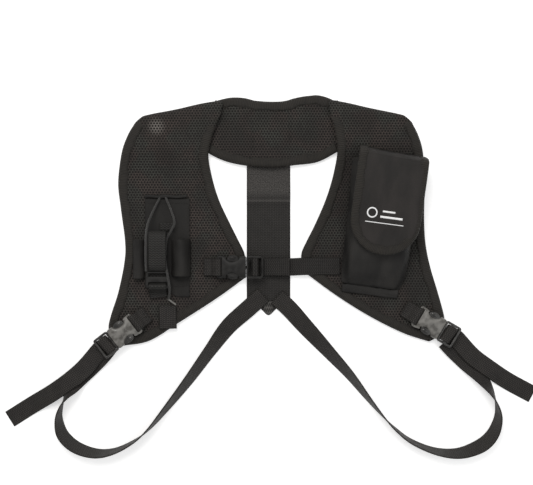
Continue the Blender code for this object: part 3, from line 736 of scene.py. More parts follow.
# Each panel's edges: outer and inner run down from the shoulder, the others run across;
# fold is where the mesh starts over the shoulder and wall is where it stands upright.
PANELS = {
    "left": {
        "outer": [(-156, 174.5), (-164, 161), (-171.5, 140), (-176, 108), (-173, 78), (-168, 39),
                  (-169, 15), (-176, -19), (-184, -44), (-187, -60), (-182, -74), (-171, -80)],
        "inner": [(-58.5, 183.5), (-65, 168), (-70, 152), (-72.5, 137), (-69, 115), (-61, 88),
                  (-48, 60), (-39, 42), (-31.5, 26), (-30, 10), (-30.5, -2)],
        "bottom": [(-171, -80), (-140, -74), (-106, -53), (-64, -26), (-30.5, -2)],
        "fold": [(-156, 174.5), (-141, 178), (-127, 180.5), (-111, 183), (-83, 183.5),
                 (-58.5, 183.5)],
        "wall": [(-149, 180), (-134, 183.4), (-118, 186.3), (-104, 189.2), (-80, 194.8),
                 (-55, 198.8)],
    },
    "right": {
        "outer": [(159.5, 175.5), (167, 160), (172.5, 140), (175, 108), (174.5, 67), (176, 38),
                  (181, 12), (189, -15), (196, -40), (197.6, -51), (195, -61), (189, -70),
                  (180, -75)],
        "inner": [(66.5, 183.5), (71, 168), (74, 152), (74.5, 138), (70, 114), (62, 88),
                  (50, 60), (40, 40), (34, 26), (35, 12), (42, 1)],
        "bottom": [(180, -75), (150, -65), (112, -46), (75, -23), (42, 1)],
        "fold": [(159.5, 175.5), (144, 179), (129, 181.5), (113, 183.3), (88, 183.5),
                 (66.5, 183.5)],
        "wall": [(152.5, 181), (138, 184.3), (122, 187.5), (108, 190.5), (86, 195.6),
                 (64.5, 199.6)],
    },
}
# How far the mesh drops over the fold, and how high its foot then is
FOLD_DROP = 4.6
FOLD_FOOT = 2.2


def panel_lift(y):
    return 3.0 + (PANEL_HIGH - 3.0) * smoothstep(112, 152, y)


def panel_curves(side):
    return {name: Curve(knots) for name, knots in PANELS[side].items()}


def coons(curves, u, v):
    """The flat patch between the panel's four edges; u is across and v is down."""
    u1, v1 = u[..., None], v[..., None]
    outer, inner = curves["outer"](v), curves["inner"](v)
    top, bottom = curves["fold"](u), curves["bottom"](u)
    corner = [curves[e](s) for e, s in (("outer", 0), ("inner", 0), ("outer", 1), ("inner", 1))]
    upper = corner[0] * (1 - u1) + corner[1] * u1
    lower = corner[2] * (1 - u1) + corner[3] * u1
    ruled = outer * (1 - u1) + inner * u1 + top * (1 - v1) + bottom * v1
    return ruled - upper * (1 - v1) - lower * v1


def fold_points(curves, u, turn):
    """Points over the shoulder fold: turn 0 is flat, 1 is upright, more is its foot."""
    start, wall = curves["fold"](u), curves["wall"](u)
    angle = np.clip(turn, 0, 1) * np.pi / 2
    flat = start + (wall - start) * np.sin(angle)[..., None]
    z = PANEL_HIGH - FOLD_DROP * (1 - np.cos(angle))
    z = z - np.clip(turn - 1, 0, 1) * (PANEL_HIGH - FOLD_DROP - FOLD_FOOT)
    return lifted(flat, z)


def drape(side, x, y):
    """Slow rises and dips of the padded panel, in millimetres."""
    phase = 0.0 if side == "left" else 2.1
    wave = np.sin(x / 23.0 + y / 41.0 + phase) + 0.6 * np.sin(y / 17.0 - x / 35.0 + phase)
    return 0.28 * wave


def make_panel(side):
    curves = panel_curves(side)
    columns = np.linspace(0, 1, 46)
    turns = np.concatenate([[1.9], np.linspace(1.3, 1.0, 3), np.linspace(0.9, 0.1, 8)])
    u, turn = np.meshgrid(columns, turns)
    over = fold_points(curves, u, turn)
    u, v = np.meshgrid(columns, np.linspace(0, 1, 84))
    flat = coons(curves, u, v)
    x, y = flat[..., 0], flat[..., 1]
    calm = smoothstep(0, 0.12, v) * smoothstep(0, 0.1, u) * smoothstep(0, 0.1, 1 - u)
    z = panel_lift(y) + drape(side, x, y) * calm
    points = np.concatenate([over, lifted(flat, z)])
    normal = unit(np.cross(np.gradient(points, axis=1), np.gradient(points, axis=0)))
    if normal[-1, 10, 2] < 0:
        normal = -normal
    near = np.minimum(np.minimum(u[0], 1 - u[0])[None, :] * 26, np.ones((len(points), 1)))
    last = np.clip((1 - np.linspace(0, 1, 84)) * 26, 0, 1)
    down = np.concatenate([np.ones(len(turns)), last])[:, None]
    thick = (1.6 + (PAD_HALF - 1.6) * np.sqrt(np.minimum(near, down)))[..., None]
    run = run_grid(points, 0)
    uv = packed(points[..., 0], run - run[-1:] - 80)
    pad = shell(f"panel_{side}_mesh", points + normal * thick, points - normal * thick, MESH, uv)
    place(pad, FRONT_FOLD, "air_mesh", f"panel_{side}", f"shoulder_fold_{side}")
    make_panel_tape(side, curves)
    make_wing(side, curves)


def edge_path(side, curves):
    """The panel's bound edge: over the fold, round the panel and over it again."""
    turns = np.array([1.8, 1.4, 1.1, 1.0, 0.85, 0.65, 0.45, 0.25, 0.1])
    first = fold_points(curves, np.zeros_like(turns), turns)
    last = fold_points(curves, np.ones_like(turns), turns)[::-1]
    outer = curves["outer"](np.linspace(0, 0.985, 70))
    bottom = curves["bottom"](np.linspace(0.03, 0.965, 50))
    inner = curves["inner"](np.linspace(0.975, 0, 56))
    flat = np.concatenate([outer, bottom, inner])
    z = panel_lift(flat[:, 1])
    path = np.concatenate([first, lifted(flat, z), last])
    smooth = path.copy()
    for _ in range(2):
        smooth[1:-1] = (smooth[:-2] + 2 * smooth[1:-1] + smooth[2:]) / 4
    ahead = tangents(smooth)
    outward = np.array([1.0 if side == "right" else -1.0, 0.0, 0.0])
    normal = np.tile(UP, (len(path), 1))
    for rows, u in ((slice(0, 9), 0.0), (slice(-9, None), 1.0)):
        angle = np.clip(turns, 0, 1) * np.pi / 2
        lean = unit(np.append(curves["wall"](u) - curves["fold"](u), 0.0))
        tilt = lean[None] * np.sin(angle)[:, None] + UP[None] * np.cos(angle)[:, None]
        normal[rows] = tilt if u == 0.0 else tilt[::-1]
    normal = unit(normal - ahead * np.sum(normal * ahead, axis=1, keepdims=True))
    inward = np.cross(normal, ahead)
    if inward[30] @ outward > 0:
        inward = -inward
    to_end = np.arange(len(path))[::-1]
    low = 1 - 0.3 * smoothstep(26, 8, to_end) - 0.6 * smoothstep(10, 5, to_end)
    return smooth, normal * low[:, None], unit(inward)


def make_panel_tape(side, curves):
    path, normal, inward = edge_path(side, curves)
    seed = 1.0 if side == "left" else 4.0
    tape = tape_edge(f"panel_{side}_tape", path, normal, inward, BINDING, seed)
    nodes = [f"panel_{side}_{edge}_binding" for edge in ("outer", "inner", "bottom")]
    place(tape, FRONT_FOLD, "binding_tape", *nodes)
    line = path + inward * SEAM_INSET + normal * SEAM_HIGH
    sew(f"panel_{side}_stitches", FRONT_FOLD, [(line, normal)])


def make_wing(side, curves):
    """The back's layer of the pad, under the panel as far as the shoulder fold."""

    def surface(u, v):
        top = curves["wall"](u) - np.array([0.0, 6.5])
        low = curves["fold"](u) * np.array([0.9, 0.0]) + np.array([0.0, 152.0])
        flat = top + (low - top) * v[..., None]
        return lifted(flat, 3.2)

    wing = cloth(f"shoulder_{side}_back", surface, (24, 12), crowned(1.2, 1.4, 14), MESH)
    place(wing, "back", "air_mesh", f"shoulder_wing_{side}")


# --- yoke and back strap

YOKE_TOP = [(-66, 200.2), (-55, 203.0), (-48, 204.2), (-42, 204.4), (-35, 204.0), (-28.5, 203.0),
            (-20, 200.8), (-10, 199.8), (-3, 199.5), (8, 199.6), (16, 200.6), (24.4, 203.0),
            (34, 205.2), (44, 206.6), (50.8, 207.2), (58, 206.2), (66, 203.6), (72, 200.5)]
YOKE_BOTTOM = [(-77, 143), (-57, 133), (-36, 127.5), (-3, 124), (26, 127), (53, 131), (78, 144)]
YOKE_SEAMS = (-21.6, 20.9)


def yoke_lift(x):
    return 3.0 + 2.4 * (1 - smoothstep(30, 55, np.abs(x - STRAP_X)))


def make_yoke():
    top, bottom = Curve(YOKE_TOP), Curve(YOKE_BOTTOM)

    def surface(u, v):
        upper, lower = top(u), bottom(u)
        flat = upper + (lower - upper) * v[..., None]
        groove = sum(np.exp(-((flat[..., 0] - x) / 1.7) ** 2) for x in YOKE_SEAMS)
        lift = yoke_lift(flat[..., 0]) - 0.7 * groove
        lift = lift + 0.3 * np.sin(flat[..., 0] / 11.0 + flat[..., 1] / 19.0)
        return lifted(flat, lift)

    pad = cloth("yoke_mesh", surface, (90, 34), crowned(1.5, 1.35, 16), MESH)
    place(pad, "back", "air_mesh", "yoke_pad")
    lines = []
    for name, curve, down in (("neck", top, -1.0), ("lower", bottom, 1.0)):
        flat = curve(np.linspace(0.01, 0.99, 80))
        path = lifted(flat, yoke_lift(flat[:, 0]))
        inward, normal = tape_sides(path, down)
        tape = tape_edge(f"yoke_{name}_tape", path, normal, inward, BINDING, 7 + down)
        place(tape, "back", "binding_tape", f"yoke_{name}_binding")
        lines.append((path + inward * SEAM_INSET + normal * SEAM_HIGH, normal))
    for x in YOKE_SEAMS:
        for off in (-1.6, 1.6):
            z = yoke_lift(x) + 2.55
            lines.append(([(x + off, 189, z), (x + off, 138, z)], UP))
    sew("yoke_stitches", "back", lines)


def make_back_strap():
    half = BACK_WEBBING / 2
    xs = np.linspace(-half, half, 27)
    shape = Curve([(-half, -27), (-9.7, -37), (0, -45), (9.7, -37), (half, -27)])
    foot = np.interp(xs, shape.dense[:, 0], shape.dense[:, 1])
    x, v = np.meshgrid(xs, np.linspace(0, 1, 110))
    y = 186 + (foot[None, :] - 186) * v
    z = 0.85 + 2.6 * np.exp(-((y - 92) / 15.0) ** 2) * smoothstep(74, 92, y)
    z = z + 0.5 * np.exp(-((y - 60) / 14.0) ** 2)
    points = packed(x + STRAP_X, y, z)
    edge = np.minimum(half - np.abs(x), 2.0) / 2.0
    thick = packed(0.0, 0.0, 0.45 + 0.32 * np.sqrt(edge))
    place(shell("back_strap_webbing", points + thick, points - thick, STRAP_BACK, packed(x, y)),
          "back", "webbing", "back_strap")
    # the folded point's end, painted much lighter in coarse streaks: a painted highlight
    x, v = np.meshgrid(np.linspace(-1, 1, 13), np.linspace(0, 1, 12))
    y = -29 - 15.6 * v
    x = x * np.minimum(5.2, 9.7 * (y + 45.2) / 8.2)
    points = packed(x + STRAP_X, y, 2.35 - 0.25 * v + 0.2 * np.cos(x * 2.4))
    thick = UP * 0.35
    place(shell("back_strap_tip", points + thick, points - thick, STRAP_TIP_HIGHLIGHT, packed(x * 1.6, y)),
          "back", "webbing")


# --- side straps

# Along each strap: x, y, its roll in degrees and how high its lower edge is
SIDE_ROUTES = {
    "left": [
        (-9.6, -21.6, 0, 2.6), (-28, -38, -4, 2.2), (-50, -58, -20, 0.5), (-70.5, -85, -42, 0.4),
        (-96, -120, -56, 0.4), (-123, -154, -71, 0.4), (-141, -175, -82, 0.4),
        (-157.5, -188.5, -92, 0.4), (-180, -199.5, -100, 0.4), (-201.5, -202, -112, 0.4),
        (-223.5, -195, -121, 0.4), (-238.5, -181, -120, 0.4), (-243, -163, -104, 0.4),
        (-240, -147.5, -90, 0.4), (-235.5, -138.5, -72, 0.4), (-229.5, -128.5, -34, 0.4),
        (-223, -119.5, -12, 0.4), (-208.5, -105.5, -2, 1.4), (-195, -92.0, 0, 4.2),
        (-184.5, -79.0, 0, 4.6),
    ],
    "right": [
        (5.5, -24, 0, 2.4), (20.5, -38, 4, 2.2), (38, -57.5, 18, 0.5), (63.5, -85, 40, 0.4),
        (88.8, -112.7, 58, 0.4), (110.6, -140.3, 74, 0.4), (127.9, -161, 86, 0.4),
        (141.7, -175, 94, 0.4), (159.5, -188.5, 98, 0.4), (186.5, -199.5, 104, 0.4),
        (213, -202, 116, 0.4), (237.5, -194, 128, 0.4), (251.5, -181, 122, 0.4),
        (258, -163, 106, 0.4), (257, -147.5, 90, 0.4), (251, -132.5, 68, 0.4),
        (237.5, -113, 29, 0.4), (222.5, -98.5, 5, 1.4), (208.5, -85.2, 0, 4.2),
        (198.5, -74.5, 0, 4.6),
    ],
}
# The share of each strap that goes from the back to its loop
SIDE_SPLIT = {"left": 0.80, "right": 0.81}


def side_route(side):
    knots = []
    for x, y, roll, rise in SIDE_ROUTES[side]:
        turn = math.radians(roll)
        edge = WEBBING / 2 * abs(math.sin(turn))
        face = WEBBING_THICK / 2 * abs(math.cos(turn))
        knots.append((x, y, rise + edge + face, roll))
    return Curve(knots)


def rolled(route, shares):
    """Points on a route, and the width's direction there from its roll."""
    ahead = route(np.minimum(shares + 0.01, 1.0)) - route(np.maximum(shares - 0.01, 0.0))
    heading = unit(ahead[:, :2])
    here = route(shares)
    roll = np.radians(here[:, 3:])
    left = packed(-heading[:, 1], heading[:, 0], 0.0)
    return here[:, :3], left * np.cos(roll) + UP * np.sin(roll)


def make_side_straps():
    for side in SIDE_ROUTES:
        route = side_route(side)
        split = SIDE_SPLIT[side]
        sign = -1.0 if side == "left" else 1.0
        spans = {
            "strap": (0.0, split, 150, f"side_strap_{side}"),
            "strap_end": (split, 1.0, 44, f"side_strap_end_{side}"),
        }
        for kind, (start, end, steps, node) in spans.items():
            path, across = rolled(route, np.linspace(start, end, steps))
            piece = strap(f"{side}_{kind}", path, across, STRAP, run_from=start * route.length)
            if kind == "strap":
                far = (sign * 0.246, -0.0705, 0.0)
                body = ("back", "front", (sign * 0.020, -0.0253, 0.0), far)
            else:
                body = ("front", f"{side}_male_half", tuple(path[0] * MM), tuple(path[-1] * MM))
            place(piece, body, "webbing", node)


# --- buckles


def female_half_width(x):
    """Half the receiving half's width: a bar end, round thumb windows and a mouth."""
    base = 11.0 + 1.7 * smoothstep(22, 27, x) - 0.4 * smoothstep(31, 33.5, x)
    base = base + 1.7 * smoothstep(11, 6, x)
    inside = np.clip(9.6**2 - (x - 17.5) ** 2, 0, None)
    window = np.where(inside > 0, 16.5 - np.sqrt(inside), 99.0)
    return np.minimum(base, window)


def make_female(name, matrix, finish):
    x_out = np.concatenate([[5.9, 6.1, 6.6], np.linspace(7.4, 33.0, 44), [33.35, 33.5]])
    width = female_half_width(x_out)
    high = 2.7 + 1.75 * smoothstep(6, 15, x_out) - 0.25 * smoothstep(28, 33.5, x_out)
    shrink = np.concatenate([[0.90, 0.97, 1.0], np.ones(44), [0.985, 0.95]])
    x_in = np.array([33.4, 32.8, 30.0, 24.0, 14.0])
    width_in = np.minimum(female_half_width(x_in) - 1.5, np.array([11.2, 10.9, 10.7, 10.0, 5.2]))
    x_all = np.concatenate([x_out, x_in])
    wide = np.concatenate([width * shrink, width_in])
    tall = np.concatenate([high * shrink, [3.2, 2.95, 2.9, 2.9, 2.5]])
    angle = np.linspace(0, 2 * np.pi, 36, endpoint=False)
    c, s = np.cos(angle), np.sin(angle)
    y = np.sign(c) * np.abs(c) ** 0.5
    z = np.sign(s) * np.abs(s) ** 0.62 * (1 - 0.06 * np.abs(c))
    rings = packed(x_all[:, None], wide[:, None] * y, tall[:, None] * z)
    body = skin(f"{name}_shell", moved(rings, matrix), finish, np.zeros((len(x_all), 37, 2)),
                sharp=50)
    bar = Curve([(11, 10.2, 0), (7, 11.2, 0), (3.4, 11.6, 0), (1.9, 11.0, 0), (1.7, 9.6, 0),
                 (1.7, 0, 0), (1.7, -9.6, 0), (1.9, -11.0, 0), (3.4, -11.6, 0),
                 (7, -11.2, 0), (11, -10.2, 0)])
    loop = tube(f"{name}_bar", moved(bar.even(60), matrix), 1.5, finish, 12, 1.1)
    return joined(f"{name}_buckle_female", [body, loop])


def arm_line(sign):
    shape = Curve([
        (33.4, 6.2), (33.4, 8.1), (26.4, 8.5), (25.4, 10.4), (22.8, 13.0), (18.0, 13.7),
        (13.8, 12.5), (12.3, 10.0), (12.6, 7.2), (20.0, 6.6), (27.0, 6.2), (33.4, 6.2),
    ])
    points = shape.even(45)[:-1]
    return [(x, y * sign) for x, y in (points if sign < 0 else points[::-1])]


def make_buckle(name):
    matrix = frame_at(*BUCKLES[name], BUCKLE_LIFT)
    finish = PLASTIC_DARK if name == "chest" else PLASTIC
    lock_finish = PLASTIC_DARK if name == "chest" else PLASTIC_LOCK
    place(make_female(name, matrix, finish), "front", "buckle_plastic", f"{name}_female")

    start = FEMALE_LENGTH + 0.4
    outline = rounded_box((start, -BUCKLE_HALF), (BUCKLE_LENGTH + 1.0, BUCKLE_HALF), 2.6, 5)
    bars = ((36.4, 41.6), (46.6, 51.0)) if name == "chest" else ((36.2, 41.4), (45.4, 50.4))
    slots = [rounded_box((low, -10.3), (high, 10.3), 0.9, 3)[::-1] for low, high in bars]
    lock = moulded(f"{name}_lock", [outline, *slots], -2.9, 2.9, 0.9, matrix, lock_finish)
    tongue = moulded(f"{name}_tongue", [rounded_box((15, -1.7), (35, 1.7), 1.0)], -1.3, 1.3, 0.4,
                     matrix, lock_finish)
    place(joined(f"{name}_buckle_male", [lock, tongue]), f"{name}_male_half", "buckle_plastic",
          f"{name}_male")
    for arm, sign in (("upper", 1.0), ("lower", -1.0)):
        leaf = moulded(f"{name}_{arm}_leaf", [arm_line(sign)], -2.4, 2.4, 0.7, matrix, lock_finish)
        pad = dome(f"{name}_{arm}_pad", (18.2, 10.5 * sign, 0), (6.0, 3.3, 3.3), matrix,
                   lock_finish)
        whole = joined(f"{name}_{arm}_spring_arm", [leaf, pad])
        place(whole, f"{name}_{arm}_arm", "buckle_plastic", f"{name}_arm_{arm}")

    stub = Curve([
        (-15, 0, -4.7), (-8, 0, -4.7), (-2, 0, -4.5), (2.2, 0, -3.9), (5.2, 0, 0),
        (2.2, 0, 3.4), (-2.5, 0, 0.8), (-7, 0, -2.4), (-14.4, 0, -2.75),
    ])
    path = moved(stub.even(76), matrix)
    place(strap(f"{name}_webbing_stub", path, turned((0, 1, 0), matrix), STRAP), "front",
          "webbing", f"{name}_stub")
    lines = [(moved([(x, -8.6, -1.8), (x, 8.6, -1.8)], matrix), UP) for x in (-13.2, -11.2, -7.6)]
    sew(f"{name}_stub_stitches", "front", lines, 2.4, 1.8, 0.3)


# Where each tail goes once it is through its ladder-lock
TAIL_ENDS = {
    "chest": [(-2, 10.4, 7.9), (12, 10.4, 8.7), (20, 10.4, 9.8)],
    "left": [(-213.5, -104, 8.6), (-230.8, -119.3, 11.4), (-251.4, -133.8, 9.2),
             (-275.2, -148.2, 1.8), (-300.8, -164.4, 1.0)],
    "right": [(229, -91, 7.3), (249, -106, 6.2), (270.7, -120.4, 1.8), (299.4, -136, 1.0)],
}


def make_tail(name):
    """The webbing's free length: up, over the ladder-lock's bar, down and out."""
    matrix = frame_at(*BUCKLES[name], BUCKLE_LIFT)
    if name == "chest":
        skew = 0.0
        wrap = [
            (40.4, 0, -4.6), (40.6, 0, -1.0), (41.0, 0, 2.2), (42.6, 0, 3.9), (45.4, 0, 3.9),
            (47.2, 0, 2.0), (47.6, 0, -1.4), (48.4, 0, -4.0), (50.6, 0, -4.7),
            (BUCKLE_LENGTH + 3, 0, -4.7),
        ]
    else:
        skew = -6.0 if name == "left" else 6.0
        wrap = [
            (37.6, 0, -4.4), (37.3, 0, 0.0), (38.0, 0, 3.0), (40.6, 0, 4.2), (43.4, 0, 4.4),
            (46.2, 0, 4.1), (48.2, 0, 2.4), (48.8, 0, -0.8), (49.4, 0, -3.4), (51.2, 0, -4.7),
            (BUCKLE_LENGTH + 3, 0, -4.8),
        ]
    route = Curve([*moved(wrap, matrix), *TAIL_ENDS[name]])
    path = route.even(110)
    turn = math.radians(skew)
    inside = turned((math.sin(turn), math.cos(turn), 0), matrix)
    along = unit(path[-1] - path[60])
    outside = np.array([-along[1], along[0], 0.0])
    outside = outside * np.sign(outside @ inside)
    share = smoothstep(0.15, 0.6, np.linspace(0, 1, 110))[:, None]
    weave = STRAP_CHEST if name == "chest" else STRAP
    tail = strap(f"{name}_webbing_tail", path, inside * (1 - share) + outside * share, weave)
    place(tail, f"{name}_male_half", "webbing", f"{name}_tail")


def make_chest_strap():
    route = Curve([
        (78, 10.4, 7.2), (60, 10.4, 7.3), (48, 10.4, 8.2), (37, 10.4, 8.3), (29, 10.4, 7.4),
        (21, 10.4, 5.8), (12, 10.4, 5.5), (-8, 10.4, 5.5), (-22, 10.4, 5.6),
    ])
    path = route.even(80)
    path[:, 1] += 1.0 * smoothstep(15, 45, path[:, 0])
    piece = strap("chest_webbing", path, np.array([0.0, 1.0, 0.0]), STRAP_CHEST)
    body = ("front", "chest_male_half", (0.074, 0.0104, 0.007), (-0.018, 0.0104, 0.0056))
    place(piece, body, "webbing", "chest_strap")
    lines = [([(x, 2.5, 8.25), (x, 18.3, 8.25)], UP) for x in (74.5, 76.3, 70.0, 71.8)]
    sew("chest_end_stitches", "front", lines, 2.4, 1.8, 0.3)


# --- radio pouch

# From the mouth down: y, left and right at the back, left and right at the front,
# height of the front.
POUCH_ROWS = [
    (-13, -43, 35, -31, 31, 33.5),
    (-30, -42, 36, -32, 32, 34.0),
    (-75, -40, 37, -32, 32, 31.5),
    (-118, -39, 37, -31, 31, 27.5),
    (-140, -38.5, 35, -30, 28, 21.0),
    (-150, -37.5, 33, -29, 26, 15.5),
    (-157, -36, 30, -29, 24, 10.6),
]
# Height of the pouch's back, on the panel's mesh
POUCH_BACK = 7.5


def pouch_row(y, column):
    """One column of POUCH_ROWS at y."""
    return np.interp(-y, [-row[0] for row in POUCH_ROWS], [row[column] for row in POUCH_ROWS])


def pouch_section(row, inside):
    """One ring of the pouch, moved in by inside millimetres."""
    y, back_l, back_r, front_l, front_r, high = row
    corners = np.array([
        (back_l + inside, POUCH_BACK + inside),
        (front_l + inside * 1.3, high - inside),
        (front_r - inside * 1.3, high - inside),
        (back_r - inside, POUCH_BACK + inside),
    ])
    soft, tight = min(8.5, (high - POUCH_BACK) * 0.38), 0.8
    ring = []
    for k, corner in enumerate(corners):
        before, after = corners[k - 1], corners[(k + 1) % 4]
        bend = soft if 0 < k < 3 else tight
        enter = corner + unit(before - corner) * bend
        leave = corner + unit(after - corner) * bend
        for t in np.linspace(0, 1, 6):
            ring.append(enter * (1 - t) ** 2 + corner * 2 * t * (1 - t) + leave * t**2)
        far = after + unit(corner - after) * (soft if k < 2 else tight)
        for t in np.linspace(0, 1, 9)[1:-1]:
            ring.append(leave + (far - leave) * t)
    ring = np.array(ring)
    return packed(ring[:, 0], y, ring[:, 1])


def make_pouch():
    matrix = frame_at(POUCH_SEAM, POUCH_TILT, 0.0)
    rows = Curve([(row[0], 0, 0, *row[1:]) for row in POUCH_ROWS])

    def ring(share, inside):
        row = rows(share)
        return pouch_section((row[0], *row[3:]), inside)

    outer = np.array([ring(share, 0.0) for share in np.linspace(1, 0, 64)])
    y = outer[:, :, 1]
    around = np.linspace(0, 2 * np.pi, outer.shape[1], endpoint=False)
    top = smoothstep(POUCH_BACK + 2, POUCH_BACK + 12, outer[:, :, 2])
    crease = 1.1 * np.sin(y / 9.0 + 2.2 * around) + 0.9 * np.sin(y / 5.2 - 3.1 * around)
    fade = smoothstep(-157, -140, y) * smoothstep(-14, -30, y)
    outer[:, :, 2] += top * fade * 0.45 * crease
    dip = np.exp(-((outer[:, :, 0] - 2 + (y + 130) * 0.12) / 6.5) ** 2)
    outer[:, :, 2] -= top * 3.2 * dip * smoothstep(-112, -128, y) * smoothstep(-157, -148, y)
    lining = ((0.0, 0.9), (0.02, 1.6), (0.2, 1.7), (0.5, 1.7), (0.72, 1.8))
    rings = np.array([*outer, *(ring(share, inside) for share, inside in lining)])
    across = run_length(np.vstack([outer[30], outer[30][:1]]))
    along = np.concatenate([outer[:, 0, 1], [-12, -9, 20, 60, 90]])
    body = skin("pouch_cloth", moved(rings, matrix), NYLON, packed(across, along[:, None]))
    place(body, "front", "pouch_nylon", "pouch_body")

    x = np.linspace(-35, 29, 40)
    path = moved(packed(x, -167.0, 8.5 + 0.25 * np.sin(x / 4.0)), matrix)
    inward = np.tile(turned((0, 1, 0), matrix), (40, 1))
    tape = tape_edge("pouch_seam_tape", path, np.tile(UP, (40, 1)), inward, NYLON, 3.0,
                     10.0, 1.3, 0.9)
    place(tape, "front", "binding_tape", "pouch_bottom_seam")
    lines = [(moved([(-34, -163, 9.9), (28, -163, 9.9)], matrix), UP)]
    for back in (1, 2):
        y = np.linspace(-20, -150, 30)
        x = pouch_row(y, back) + (-1.6 if back == 1 else 1.6)
        lines.append((moved(packed(x, y, 6.9), matrix), UP))
    sew("pouch_stitches", "front", lines)

    def front(u, v):
        y = -76 - 30 * v
        return moved(packed(34 * u - 17, y, pouch_row(y, 5) + 0.9), matrix)

    place(cloth("pouch_loop_tape", front, (16, 14), 0.6, HOOK), "front", "hook_and_loop",
          "pouch_loop_patch")


def flap_at(x, y):
    """A place on the flap: up from its seam, along the pouch, softly crowned across."""
    left = np.clip(1 + y / 10.0, 0, None)
    rise = 14.4 + 25.1 * (1 - left**3) - 5.5 * smoothstep(30, 118, -y)
    crown = 0.8 * (1 - (x / FLAP_HALF) ** 2) * smoothstep(2, 30, -y)
    wave = 0.35 * np.sin(y / 12.0 + x / 16.0) * smoothstep(5, 40, -y)
    droop = 1.6 * smoothstep(30, 39, x) * smoothstep(4, 20, -y)
    skew = (2.2 + 0.06 * x) * (1 - smoothstep(0, 40, -y))
    return packed(x + FLAP_SHIFT, y - skew, rise + crown + wave - droop)


def make_flap():
    matrix = frame_at(POUCH_SEAM, POUCH_TILT, 0.0)
    straight = FLAP_LENGTH - FLAP_HALF

    def surface(u, v):
        """Rows down the flap, closing on its round end."""
        y = -(FLAP_LENGTH - 4.0) * np.sin(v * np.pi / 2) ** 0.9
        below = np.clip(-y - straight, 0, None)
        half = np.sqrt(np.clip((FLAP_HALF - 4.0) ** 2 - below**2, 1.0, None))
        return moved(flap_at(half * (2 * u - 1), y), matrix)

    sheet = cloth("flap_cloth", surface, (40, 60), 1.2, NYLON_FLAP)
    place(sheet, "flap", "pouch_nylon", "flap")

    arc = np.linspace(0, np.pi, 56)
    xs = np.concatenate([[-FLAP_HALF] * 30, -FLAP_HALF * np.cos(arc), [FLAP_HALF] * 30])
    ys = np.concatenate([
        -np.linspace(1, straight - 1.5, 30),
        -straight - FLAP_HALF * np.sin(arc),
        -np.linspace(straight - 1.5, 1, 30),
    ])
    path = moved(flap_at(xs, ys), matrix)
    inward, normal = tape_sides(path)
    tape = tape_edge("flap_tape", path, normal, inward, BINDING, 5.0, 9.6, 2.1, 1.9)
    place(tape, "flap", "binding_tape", "flap_binding")
    line = path + inward * 8.2 + normal * 2.15
    seam = moved(flap_at(np.linspace(-34, 34, 24), -3.5) + UP * 1.5, matrix)
    sew("flap_stitches", "flap", [(line, UP), (seam, UP)])

    def hooks(u, v):
        return moved(flap_at(32 * u - 16, -77 - 28 * v) - UP * 1.8, matrix)

    place(cloth("flap_hook_tape", hooks, (16, 14), 0.5, HOOK), "flap", "hook_and_loop",
          "flap_hook_patch")
    make_mark(matrix)


def make_mark(matrix):
    """A plain printed device: a ring, two short bars beside it and a thin rule."""
    pieces = []
    turn = np.linspace(0, 2 * np.pi, 41)
    shapes = {
        "ring": (packed(-16.5 + 5.2 * np.cos(turn), -74 + 5.2 * np.sin(turn)), 1.5),
        "upper": (np.linspace((-5, -71.4), (9, -71.4), 10), 2.0),
        "lower": (np.linspace((-7, -77.6), (18, -77.6), 16), 2.4),
        "rule": (np.linspace((-23, -84.6), (20, -84.6), 24), 0.9),
    }
    for name, (line, width) in shapes.items():
        side = unit(packed(-np.gradient(line[:, 1]), np.gradient(line[:, 0]))) * width / 2
        edges = np.stack([line - side, line, line + side], axis=1)
        top = moved(flap_at(edges[..., 0], edges[..., 1]) + UP * 1.33, matrix)
        pieces.append(shell(f"mark_{name}", top, top - UP * 0.25, WHITE, edges))
    place(joined("flap_print", pieces), "flap", "mark_print", "flap_mark")


# --- radio holder

# The holder webbing's middle line, and the level that its heights start from
HOLDER_X = -129.6
HOLDER_OVER = 7.9


